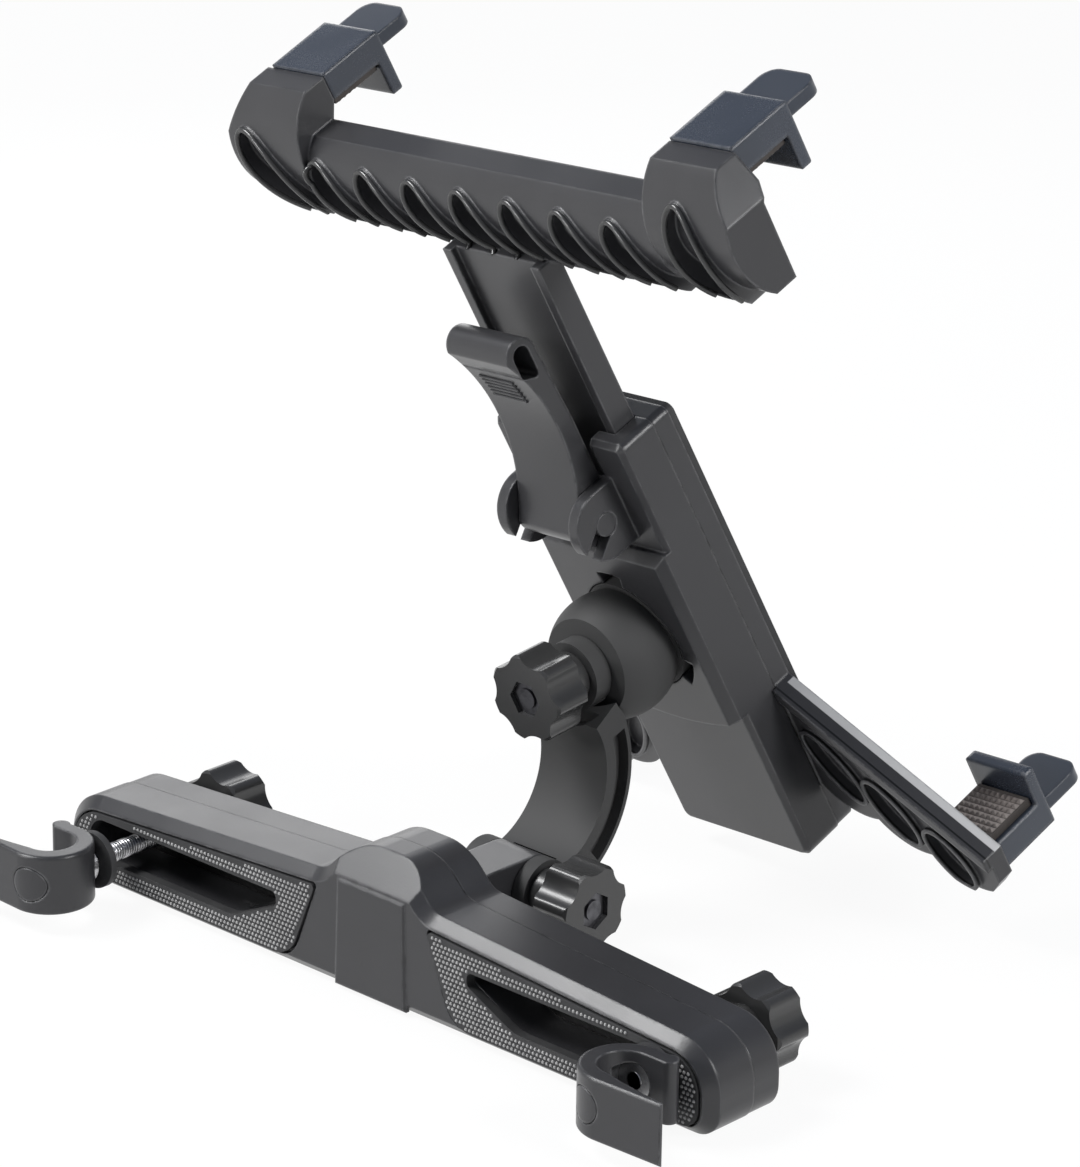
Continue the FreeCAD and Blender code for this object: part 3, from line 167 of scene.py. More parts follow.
@dataclass(frozen=True)
class Mottle:
    """Irregular pattern of a finish.

    Attributes:
        scale: Features per metre.
        detail: Octaves.
        roughness: Weight of the finer octaves.
    """

    scale: float
    detail: float
    roughness: float

    def at(self, where: Value) -> Value:
        """The pattern's value from 0 to 1 at the coordinates."""
        return where.book.node("ShaderNodeTexNoise", {"noise_dimensions": "3D"}, {
            "Vector": where, "Scale": self.scale, "Detail": self.detail, "Roughness": self.roughness})


@dataclass(frozen=True, kw_only=True)
class Tint:
    """Other colour on the part of a piece that lies beyond a plane.

    Attributes:
        along: Unit direction out of the plane.
        start: Reach of the plane along the direction in metres.
        colour: Colour beyond it.
        blend: Half width of the soft border in metres.
    """

    along: Triple
    start: float
    colour: Triple
    blend: float = 0.5 * MM

    def share(self, where: Value) -> Value:
        """Share of the tint at the coordinates, 0 before the plane and 1 beyond it."""
        return where.dot(self.along).band(self.start - self.blend, self.start + self.blend)


@dataclass(frozen=True, kw_only=True)
class BandTint(Tint):
    """Other colour on the band of a piece between two parallel planes.

    Attributes:
        width: Width of the band in metres.
    """

    width: float
    blend: float = 0.1 * MM

    def share(self, where: Value) -> Value:
        """Share of the band's colour at the coordinates, 1 in the band and 0 elsewhere."""
        end = self.start + self.width
        return super().share(where) * (1.0 - where.dot(self.along).band(end - self.blend, end + self.blend))


@dataclass(frozen=True, kw_only=True)
class PaintedHighlightStrip(BandTint):
    """Painted highlight: pale band along the upward-facing rims of a piece, outside its middle.

    Attributes:
        up: Direction that the rims face.
        across: Direction across the piece.
        middle: Reach of the piece's middle across it in metres.
        half: Half width of the middle that has no strip in metres.
        upward: How far a face looks upwards where the strip starts and where it is full.
    """

    up: Triple
    across: Triple
    middle: float
    half: float
    upward: Pair = (0.35, 0.5)

    def share(self, where: Value) -> Value:
        """Share of the painted highlight at a point.

        Args:
            where: Coordinates.

        Returns:
            1 on the strip and 0 elsewhere.
        """
        normal = where.book.node("ShaderNodeNewGeometry", output="Normal")
        own = where.book.node("ShaderNodeVectorTransform", {
            "vector_type": "NORMAL", "convert_from": "WORLD", "convert_to": "OBJECT"}, {"Vector": normal})
        outside = abs(where.dot(self.across) - self.middle).band(self.half, self.half + 2 * self.blend)
        # Painted highlight: the band is pale only where the face looks upwards, towards the light.
        return super().share(where) * own.dot(self.up).band(*self.upward) * outside


@dataclass(frozen=True)
class Surface:
    """What every finish of the holder has.

    Attributes:
        name: Material name.
        colour: Main colour.
        second: Colour of the worn, dusty or dull places.
        roughness: Middle roughness.
    """

    name: str
    colour: Triple
    second: Triple
    roughness: float

    def shader(self, book: NodeBook, where: Value) -> Value:
        """The finish's shader, which each kind of finish makes in its own way."""
        raise NotImplementedError

    def material(self) -> bpy.types.Material:
        """Builds the material.

        Returns:
            The material.
        """
        made = bpy.data.materials.new(self.name)
        made.use_nodes = True
        book = NodeBook(made.node_tree)
        shader = self.shader(book, book.node("ShaderNodeTexCoord", output="Object"))
        book.node("ShaderNodeOutputMaterial", None, {"Surface": shader})
        return made


@dataclass(frozen=True)
class MouldedPlastic(Surface):
    """Injection-moulded black plastic with a fine grain and paler worn edges.

    Attributes:
        grain: Fine grain.
        grain_height: Depth of the grain in metres.
        grain_strength: Strength of the grain's relief.
        cloud: Broad paler patches.
        cloud_band: Values of the cloud where the paler patches start and are full.
        cloud_share: Share of the paler colour in the patches.
        paler: How many times paler that colour is.
        rub: Patches of wear along the edges.
        rub_band: Values of the rub where the wear starts and is full.
        edge: Radius of the softened edges in metres.
        edge_band: Bends of the surface where the wear starts and is full.
        wear: How much of the worn colour the edges take.
        rough_cloud: Spread of the roughness over the cloud.
        rough_grain: Spread of the roughness over the grain and the worn edges.
        specular: Specular level of the shader.
        tints: Other colours of parts of the piece.
    """

    grain: Mottle = Mottle(2600.0, 3.0, 0.6)
    grain_height: float = 0.03 * MM
    grain_strength: float = 0.55
    cloud: Mottle = Mottle(45.0, 3.0, 0.55)
    cloud_band: Pair = (0.3, 0.7)
    cloud_share: float = 0.3
    paler: float = 1.35
    rub: Mottle = Mottle(260.0, 4.0, 0.65)
    rub_band: Pair = (0.3, 0.62)
    edge: float = 0.9 * MM
    edge_band: Pair = (0.01, 0.14)
    wear: float = 0.6
    rough_cloud: float = 0.14
    rough_grain: float = 0.08
    specular: float = 0.45
    tints: Tuple[Tint, ...] = ()

    def shader(self, book: NodeBook, where: Value) -> Value:
        """Black plastic.

        Args:
            book: Node maker of the material.
            where: Coordinates.

        Returns:
            The shader.
        """
        grain = self.grain.at(where)
        cloud = self.cloud.at(where)
        soft = book.node("ShaderNodeBevel", {"samples": 6}, {"Radius": self.edge})
        flat = book.node("ShaderNodeNewGeometry", output="Normal")
        bend = 1.0 - soft.dot(flat)
        rim = bend.band(*self.edge_band) * self.rub.at(where).band(*self.rub_band) * self.wear
        patches = cloud.band(*self.cloud_band) * self.cloud_share
        colour = book.mix(patches, self.colour, tuple(c * self.paler for c in self.colour))
        for tint in self.tints:
            colour = book.mix(tint.share(where), colour, tint.colour)
        rough = self.roughness + (cloud - 0.5) * self.rough_cloud + (grain - 0.5 + rim) * self.rough_grain
        bump = book.node("ShaderNodeBump", None, {
            "Strength": self.grain_strength, "Distance": self.grain_height, "Height": grain, "Normal": soft})
        return book.node("ShaderNodeBsdfPrincipled", None, {
            "Base Color": book.mix(rim, colour, self.second), "Roughness": rough, "Normal": bump,
            "Specular IOR Level": self.specular})


@dataclass(frozen=True)
class GripRubber(Surface):
    """Matt moulded rubber with patches of dust.

    Attributes:
        dusty: Share of the dust colour.
        grain: Fine grain.
        grain_height: Depth of the grain in metres.
        grain_strength: Strength of the grain's relief.
        patches: Dusty patches.
        dust_band: Values of the patches where the dust starts and is full.
        rough_patch: Spread of the roughness over the patches.
        edge: Radius of the softened edges in metres.
        specular: Specular level of the shader.
    """

    dusty: float = 0.35
    grain: Mottle = Mottle(3200.0, 3.0, 0.6)
    grain_height: float = 0.03 * MM
    grain_strength: float = 0.5
    patches: Mottle = Mottle(120.0, 4.0, 0.6)
    dust_band: Pair = (0.4, 0.72)
    rough_patch: float = 0.14
    edge: float = 0.25 * MM
    specular: float = 0.3

    def shader(self, book: NodeBook, where: Value) -> Value:
        """Matt rubber.

        Args:
            book: Node maker of the material.
            where: Coordinates.

        Returns:
            The shader.
        """
        patch = self.patches.at(where)
        soft = book.node("ShaderNodeBevel", {"samples": 4}, {"Radius": self.edge})
        bump = book.node("ShaderNodeBump", None, {
            "Strength": self.grain_strength, "Distance": self.grain_height, "Height": self.grain.at(where),
            "Normal": soft})
        return book.node("ShaderNodeBsdfPrincipled", None, {
            "Base Color": book.mix(patch.band(*self.dust_band) * self.dusty, self.colour, self.second),
            "Roughness": self.roughness + (patch - 0.5) * self.rough_patch, "Normal": bump,
            "Specular IOR Level": self.specular})


@dataclass(frozen=True)
class PlatedSteel(Surface):
    """Zinc-plated steel with fine turning marks and dull patches.

    Attributes:
        patches: Dull patches.
        dull_band: Values of the patches where the dull colour starts and is full.
        rough_patch: Spread of the roughness over the patches.
        marks: Turning marks.
        mark_depth: Depth of the marks in metres.
        mark_strength: Strength of the marks' relief.
        rough_mark: Spread of the roughness over the marks.
    """

    patches: Mottle = Mottle(500.0, 4.0, 0.6)
    dull_band: Pair = (0.35, 0.75)
    rough_patch: float = 0.2
    marks: Mottle = Mottle(6000.0, 2.0, 0.5)
    mark_depth: float = 0.01 * MM
    mark_strength: float = 0.3
    rough_mark: float = 0.08

    def shader(self, book: NodeBook, where: Value) -> Value:
        """Plated steel.

        Args:
            book: Node maker of the material.
            where: Coordinates.

        Returns:
            The shader.
        """
        patch = self.patches.at(where)
        marks = self.marks.at(where)
        rough = self.roughness + (patch - 0.5) * self.rough_patch + (marks - 0.5) * self.rough_mark
        bump = book.node("ShaderNodeBump", None, {
            "Strength": self.mark_strength, "Distance": self.mark_depth, "Height": marks})
        return book.node("ShaderNodeBsdfPrincipled", None, {
            "Base Color": book.mix(patch.band(*self.dull_band), self.colour, self.second),
            "Roughness": rough, "Metallic": 1.0, "Normal": bump})


class Finish(Enum):
    """The holder's finishes."""

    SHELL = MouldedPlastic("shell_plastic_matt", (0.026, 0.026, 0.028), (0.16, 0.16, 0.165), 0.32)
    SATIN = MouldedPlastic("satin_plastic", (0.012, 0.012, 0.013), (0.08, 0.08, 0.085), 0.19,
                           grain_height=0.01 * MM, wear=0.4, specular=0.6)
    KNOB = MouldedPlastic("knob_plastic", (0.100, 0.100, 0.103), (0.30, 0.30, 0.305), 0.27,
                          grain_height=0.01 * MM, wear=0.5, specular=0.7)
    CLIP = MouldedPlastic("clip_plastic", (0.022, 0.028, 0.040), (0.12, 0.125, 0.14), 0.26,
                          grain_height=0.01 * MM, edge=1.6 * MM, wear=0.4, specular=0.6)
    PAD = GripRubber("pad_rubber_matt", (0.030, 0.030, 0.031), (0.06, 0.06, 0.06), 0.62)
    # The studs' pale rubber is a painted highlight for the light that the stud tops catch; the pads round them
    # keep the dark rubber.
    STUD = GripRubber("stud_rubber_painted_highlight", (0.30, 0.297, 0.294), (0.42, 0.416, 0.412), 0.5, 0.6)
    CLIP_PAD = GripRubber("clip_rubber_matt", (0.040, 0.034, 0.031), (0.08, 0.072, 0.067), 0.6)
    # The pyramids' pale rubber is a painted highlight for the light that their tops catch.
    CLIP_STUD = GripRubber("clip_rubber_worn", (0.15, 0.13, 0.12), (0.26, 0.235, 0.22), 0.55)
    STEEL = PlatedSteel("zinc_steel", (0.70, 0.70, 0.71), (0.50, 0.50, 0.51), 0.32)
    DARK_STEEL = PlatedSteel("oiled_steel", (0.12, 0.12, 0.13), (0.06, 0.06, 0.065), 0.38)

    def dress(self) -> bpy.types.Material:
        """The finish's material, made once."""
        return bpy.data.materials.get(self.value.name) or self.value.material()


class Side(Enum):
    """The two sides of the holder."""

    RIGHT = "right"
    LEFT = "left"


class Level(Enum):
    """The two levels of the edge clips."""

    UPPER = "upper"
    LOWER = "lower"


class ShapeTree(NodeBook):
    """Geometry Nodes tree with named inputs for its sizes and its finish.

    Attributes:
        NAME: Name of the tree.
        INPUTS: Kinds of the inputs by name.
    """

    NAME: str
    INPUTS: Dict[str, str]

    def __init__(self) -> None:
        """Makes the inputs, the shape with its finish, and the output."""
        super().__init__(bpy.data.node_groups.new(self.NAME, "GeometryNodeTree"))
        for name, kind in {**self.INPUTS, "Finish": "Material"}.items():
            self.tree.interface.new_socket(name, in_out="INPUT", socket_type="NodeSocket" + kind)
        self.tree.interface.new_socket("Shape", in_out="OUTPUT", socket_type="NodeSocketGeometry")
        whole = self.node("GeometryNodeRealizeInstances", None, {"Geometry": self.shape()})
        painted = self.node("GeometryNodeSetMaterial", None, {
            "Geometry": whole, "Material": self.given("Finish")})
        self.node("NodeGroupOutput", None, {"Shape": painted})

    def given(self, name: str) -> Value:
        """One of the tree's inputs."""
        return self.node("NodeGroupInput", output=name)

    def shape(self) -> Value:
        """The geometry, which each tree makes in its own way."""
        raise NotImplementedError

    def make(self, name: str, sizes: Dict[str, Any], points: Sequence[Vector] = (),
             edges: Sequence[Tuple[int, int]] = ()) -> bpy.types.Object:
        """Runs the tree and keeps the result as a plain mesh.

        Args:
            name: Name of the piece.
            sizes: Values of the tree's inputs by name.
            points: Points that the tree works on.
            edges: Pairs of joined points.

        Returns:
            The piece.
        """
        path = bpy.data.meshes.new(name)
        path.from_pydata([tuple(p) for p in points], edges, [])
        piece = bpy.data.objects.new(name, path)
        bpy.context.scene.collection.objects.link(piece)
        modifier = piece.modifiers.new("build", "NODES")
        modifier.node_group = self.tree
        for item in self.tree.interface.items_tree:
            if item.item_type == "SOCKET" and item.in_out == "INPUT" and item.name in sizes:
                modifier[item.identifier] = sizes[item.name]
        evaluated = piece.evaluated_get(bpy.context.evaluated_depsgraph_get())
        plain = bpy.data.meshes.new_from_object(evaluated)
        piece.modifiers.clear()
        piece.data = plain
        plain.name = name
        LOG.info("%s: %d faces", name, len(plain.polygons))
        return piece


class StudTree(ShapeTree):
    """Sets one tapered many-sided stud on every point of a mesh."""

    NAME = "stud_rows"
    INPUTS = {"Places": "Geometry", "Sides": "Int", "Base Radius": "Float", "Top Radius": "Float",
              "Height": "Float", "Turn": "Vector", "Spin": "Vector", "Stretch": "Vector"}

    def shape(self) -> Value:
        """The studs.

        Returns:
            Their geometry.
        """
        cone = self.node("GeometryNodeMeshCone", None, {
            "Vertices": self.given("Sides"), "Radius Bottom": self.given("Base Radius"),
            "Radius Top": self.given("Top Radius"), "Depth": self.given("Height")}, "Mesh")
        stud = self.node("GeometryNodeTransform", None, {"Geometry": cone, "Rotation": self.given("Spin")})
        return self.node("GeometryNodeInstanceOnPoints", None, {
            "Points": self.given("Places"), "Instance": stud, "Rotation": self.given("Turn"),
            "Scale": self.given("Stretch")})


class ThreadTree(ShapeTree):
    """Makes a bolt with a round head and a rolled thread along its whole shank.

    Attributes:
        SIDES: Sides of the shank and the head.
        TURN_STEPS: Steps of one turn of the thread.
        RIDGE_SIDES: Corners of the thread's ridge.
    """

    NAME = "threaded_bolt"
    INPUTS = {"Length": "Float", "Pitch": "Float", "Root Radius": "Float", "Crest": "Float",
              "Head Radius": "Float", "Head Height": "Float", "Place": "Vector", "Turn": "Vector"}
    SIDES = 32
    TURN_STEPS = 20
    RIDGE_SIDES = 3

    def bar(self, radius: str, height: str) -> Value:
        """A round bar that starts at the foot of the bolt.

        Args:
            radius: Input that gives the radius.
            height: Input that gives the height.

        Returns:
            The bar.
        """
        bar = self.node("GeometryNodeMeshCylinder", None, {
            "Vertices": self.SIDES, "Radius": self.given(radius), "Depth": self.given(height)}, "Mesh")
        lift = self.node("ShaderNodeCombineXYZ", None, {"Z": self.given(height) * 0.5})
        return self.node("GeometryNodeTransform", None, {"Geometry": bar, "Translation": lift})

    def shape(self) -> Value:
        """Thread, shank and head in their place.

        Returns:
            The bolt.
        """
        length = self.given("Length")
        root = self.given("Root Radius")
        spiral = self.node("GeometryNodeCurveSpiral", None, {
            "Resolution": self.TURN_STEPS, "Rotations": length / self.given("Pitch"), "Start Radius": root,
            "End Radius": root, "Height": length})
        corner = self.node("GeometryNodeCurvePrimitiveCircle", None, {
            "Resolution": self.RIDGE_SIDES, "Radius": self.given("Crest")})
        ridge = self.node("GeometryNodeCurveToMesh", None, {
            "Curve": spiral, "Profile Curve": corner, "Fill Caps": True})
        parts = [ridge, self.bar("Root Radius", "Length"), self.bar("Head Radius", "Head Height")]
        return self.node("GeometryNodeTransform", None, {
            "Geometry": self.node("GeometryNodeJoinGeometry", None, {"Geometry": parts}),
            "Translation": self.given("Place"), "Rotation": self.given("Turn")})


class BeadTree(ShapeTree):
    """Runs a round bead along the edges of a path mesh."""

    NAME = "rim_beads"
    INPUTS = {"Path": "Geometry", "Bead Radius": "Float", "Sides": "Int", "Step": "Float"}

    def shape(self) -> Value:
        """The beads.

        Returns:
            Their geometry.
        """
        curve = self.node("GeometryNodeMeshToCurve", None, {"Mesh": self.given("Path")})
        even = self.node("GeometryNodeResampleCurve", {"mode": "LENGTH"}, {
            "Curve": curve, "Length": self.given("Step")})
        ring = self.node("GeometryNodeCurvePrimitiveCircle", None, {
            "Resolution": self.given("Sides"), "Radius": self.given("Bead Radius")})
        bead = self.node("GeometryNodeCurveToMesh", None, {
            "Curve": even, "Profile Curve": ring, "Fill Caps": True})
        return self.node("GeometryNodeSetShadeSmooth", None, {"Geometry": bead})


def ray_tree(node: str) -> BVHTree:
    """Search tree of a node's triangles."""
    mesh = frame["nodes"][node].data
    return BVHTree.FromPolygons([v.co for v in mesh.vertices], [p.vertices for p in mesh.polygons])


@dataclass(frozen=True)
class FaceFrame:
    """A flat face to lay a pattern on.

    Attributes:
        origin: A point of the face.
        across: Unit direction of the rows.
        up: Unit direction of the columns; across x up points out of the face.
    """

    origin: Vector
    across: Vector
    up: Vector

    @property
    def normal(self) -> Vector:
        """Direction out of the face."""
        return self.across.cross(self.up)

    def point(self, a: float, b: float, lift: float) -> Vector:
        """A point by its place on the face and its height above it, in metres."""
        return self.origin + self.across * a + self.up * b + self.normal * lift

    def turn(self) -> Triple:
        """Euler angles that lay X along the rows and Z out of the face."""
        axes = Matrix((self.across, self.up, self.normal)).transposed()
        return tuple(axes.to_euler())


@dataclass(frozen=True)
class StudSize:
    """Size of the studs on one face.

    Attributes:
        pitch: Distance between studs in metres.
        height: Height of a stud in metres.
        base: Radius of a stud's foot in metres.
        top: Radius of a stud's top in metres.
        margin: Bare rim of the face in metres.
        sides: Sides of a stud.
        stagger: Shift of every second row as a share of the pitch.
        spin_deg: Turn of a stud about its own axis in degrees.
    """

    pitch: float
    height: float
    base: float
    top: float
    margin: float
    sides: int = 6
    stagger: float = 0.0
    spin_deg: float = 0.0


@dataclass
class StuddedFace:
    """Rows of small studs moulded on one face of a rubber pad.

    Attributes:
        piece: Name of the piece.
        node: CAD node that carries the studs.
        body: Body that the piece rides on.
        face: The face.
        span: Half extents of the rows and columns in metres.
        size: Size of the studs.
        finish: Finish of the studs.
        slot: Material slot of the record; not used.
        search: Height from which the face is searched in metres.
        flat: How far from the face a point still counts as on it in metres.
        sink: Depth of the studs' feet under the face in metres.
        corners: Points of the margin that are searched round a stud.
    """

    piece: str
    node: str
    body: str
    face: FaceFrame
    span: Pair
    size: StudSize
    finish: Finish
    slot: str
    search: float = 4.0 * MM
    flat: float = 0.1 * MM
    sink: float = 0.05 * MM
    corners: int = 8

    def places(self) -> List[Vector]:
        """Studs that lie on the face with the whole margin round them.

        Returns:
            Points a little inside the face.
        """
        tree = ray_tree(self.node)
        size = self.size
        columns, rows = [int(half / size.pitch) for half in self.span]
        ring = [(0.0, 0.0)]
        for k in range(self.corners):
            angle = 2 * math.pi * k / self.corners
            ring.append((size.margin * math.cos(angle), size.margin * math.sin(angle)))
        found = []
        for row in range(-rows, rows + 1):
            shift = size.stagger * size.pitch * (row % 2)
            for column in range(-columns, columns + 1):
                a = column * size.pitch + shift
                b = row * size.pitch
                if all(self._on_face(tree, a + da, b + db) for da, db in ring):
                    found.append(self.face.point(a, b, -self.sink))
        return found

    def _on_face(self, tree: BVHTree, a: float, b: float) -> bool:
        """Whether the first surface met over a place is the face itself."""
        hit = tree.ray_cast(self.face.point(a, b, self.search), -self.face.normal, 2 * self.search)
        return hit[0] is not None and abs(hit[3] - self.search) < self.flat

    def build(self, tree: StudTree) -> None:
        """Makes the studs and lets them ride.

        Args:
            tree: Tree that sets the studs.
        """
        size = self.size
        made = tree.make(self.piece, {
            "Sides": size.sides, "Base Radius": size.base, "Top Radius": size.top, "Height": size.height,
            "Turn": self.face.turn(), "Spin": (0.0, 0.0, math.radians(size.spin_deg)),
            "Stretch": (1.0, 1.0, 1.0), "Finish": self.finish.dress()}, self.places())
        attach(made, self.body)


class SubAssembly:
    """Part of the holder that dresses its own CAD nodes.

    Attributes:
        SLOTS: Finish of each material slot of the record.
    """

    SLOTS = {"shell_plastic": Finish.SHELL, "satin_plastic": Finish.SATIN, "knob_plastic": Finish.KNOB,
             "pad_rubber": Finish.PAD, "clip_rubber": Finish.CLIP_PAD, "bolt_steel": Finish.STEEL}

    def nodes(self) -> Sequence[str]:
        """The CAD nodes of the sub-assembly, which each kind names for itself."""
        raise NotImplementedError

    def finish(self, node: str) -> Finish:
        """Finish of a node by its material slot."""
        return self.SLOTS[next(s["material_slot"] for s in frame["record"]["subparts"] if s["node"] == node)]

    def tints(self, node: str) -> List[Tint]:
        """Other colours on parts of a node, none unless the sub-assembly gives some."""
        return []

    def dress(self) -> None:
        """Gives every node its finish."""
        for name in self.nodes():
            finish = self.finish(name)
            made = finish.dress()
            tints = tuple(self.tints(name))
            if tints:
                made = replace(finish.value, name=name + "_plastic", tints=tints).material()
            for slot in frame["nodes"][name].material_slots:
                slot.material = made
            LOG.info("%s: %s", name, made.name)


@dataclass(frozen=True)
class Seam:
    """Thin dark line where two shells meet.

    Attributes:
        width: Width of the line in metres.
        colour: Colour of the line.
    """

    width: float = 0.5 * MM
    colour: Triple = (0.002, 0.002, 0.002)

    def tint(self, along: Triple, reach: float) -> BandTint:
        """The line where the shells meet at a reach along a direction."""
        return BandTint(along=along, start=reach - self.width / 2, width=self.width, colour=self.colour)


@dataclass
class ClampBar(SubAssembly):
    """Clamp bar of two shells with a studded rubber pad round each slot.

    Attributes:
        stud: Size of the pads' studs.
        seam: Line between the two shells.
    """

    stud: StudSize = StudSize(pitch=1.2 * MM, height=0.32 * MM, base=0.5 * MM, top=0.27 * MM,
                              margin=0.75 * MM, stagger=0.5)
    seam: Seam = Seam()

    def nodes(self) -> Sequence[str]:
        """The bar's nodes."""
        return "bar_front_shell", "bar_rear_shell", "bar_screws", "right_grip_pad", "left_grip_pad"

    def tints(self, node: str) -> List[Tint]:
        """The seam on both shells."""
        seam = self.seam.tint((0.0, 1.0, 0.0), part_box("bar_rear_shell")[0].y)
        return [seam] if node.endswith("_shell") else []

    def pad_studs(self, side: Side, tree: StudTree) -> None:
        """Makes the studs of one pad.

        Args:
            side: Side of the pad.
            tree: Tree that sets the studs.
        """
        node = side.value + "_grip_pad"
        low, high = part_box(node)
        middle = (low + high) / 2
        face = FaceFrame(Vector((middle.x, low.y, middle.z)), Vector((1, 0, 0)), Vector((0, 0, 1)))
        span = ((high.x - low.x) / 2, (high.z - low.z) / 2)
        # The studs take the pale stud rubber, a painted highlight.
        StuddedFace(side.value + "_pad_studs", node, "bar", face, span, self.stud, Finish.STUD,
                    "pad_rubber").build(tree)


@dataclass
class PostHook(SubAssembly):
    """Post hook with its plug, washer, threaded clamp bolt, star knob and nut.

    Attributes:
        side: Side of the hook.
        pitch: Thread pitch in metres.
        root: Radius of the thread's root in metres.
        crest: Radius of the circle through the corners of the thread's ridge in metres.
        head: Radius of the bolt's head in metres.
        head_height: Height of the head in metres.
    """

    side: Side
    pitch: float = 0.8 * MM
    root: float = 2.08 * MM
    crest: float = 0.36 * MM
    head: float = 4.6 * MM
    head_height: float = 2.2 * MM

    def nodes(self) -> Sequence[str]:
        """The hook's nodes."""
        ends = ("", "_plug", "_washer", "_bolt", "_knob", "_nut")
        return [self.side.value + "_hook" + end for end in ends]

    def finish(self, node: str) -> Finish:
        """Dark steel for the nut and the record's slot for the rest."""
        return Finish.DARK_STEEL if node.endswith("_nut") else super().finish(node)

    def bolt(self, tree: ThreadTree) -> None:
        """Makes the threaded bolt in place of the plain one.

        Args:
            tree: Tree that makes the bolt.
        """
        node = self.side.value + "_hook_bolt"
        low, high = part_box(node)
        middle = (low + high) / 2
        made = tree.make(node + "_threaded", {
            "Length": high.y - low.y, "Pitch": self.pitch, "Root Radius": self.root, "Crest": self.crest,
            "Head Radius": self.head, "Head Height": self.head_height, "Place": (middle.x, low.y, middle.z),
            "Turn": (-math.pi / 2, 0.0, 0.0), "Finish": Finish.STEEL.dress()})
        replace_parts(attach(made, self.side.value + "_hook_clamp"), node)


@dataclass
class TiltArm(SubAssembly):
    """Curved arm with its hinge, the ball mount and both clamp knobs."""

    def nodes(self) -> Sequence[str]:
        """The arm's and the ball's nodes."""
        clamps = [joint + end for joint in ("tilt", "ball") for end in ("_bolt", "_knob", "_nut")]
        return ["tilt_arm", "ball_mount", *clamps]

    def finish(self, node: str) -> Finish:
        """Dark steel for bolts and nuts and the record's slot for the rest."""
        return Finish.DARK_STEEL if node.endswith(("_bolt", "_nut")) else super().finish(node)


@dataclass
class CradleFrame:
    """The cradle's own directions, read from the joints of the record.

    Attributes:
        across: Across the cradle.
        out: From the back cover towards the tablet.
        up: Along the slide.
        rest: Middle of the front pad's face.
    """

    across: Vector = field(default_factory=lambda: CradleFrame.axis("lever_open"))
    out: Vector = field(default_factory=lambda: CradleFrame.axis("cradle_swivel"))
    up: Vector = field(default_factory=lambda: CradleFrame.axis("grip_slide"))
    rest: Vector = field(default_factory=lambda: CradleFrame.mount("tablet_rest"))

    @staticmethod
    def axis(joint: str) -> Vector:
        """A joint's axis."""
        return next(Vector(j["axis"]).normalized() for j in frame["joints"] if j["name"] == joint)

    @staticmethod
    def mount(name: str) -> Vector:
        """A mount's place."""
        return next(Vector(m["pos_m"]) for m in frame["record"]["mounts"] if m["name"] == name)

    def extent(self, node: str, direction: Vector) -> Pair:
        """Lowest and highest reach of a node along a unit direction, in metres."""
        reaches = [v.co.dot(direction) for v in frame["nodes"][node].data.vertices]
        return min(reaches), max(reaches)

    def point(self, across: float, out: float, up: float) -> Vector:
        """The world point with these reaches along the three directions."""
        return self.across * across + self.out * out + self.up * up

    def tongue(self, gap: float = 3.0 * MM) -> Tint:
        """The clips' colour on what stands out beyond the front pad by more than a gap."""
        start = self.rest.dot(self.out) + gap
        return Tint(along=tuple(self.out), start=start, colour=Finish.CLIP.value.colour)


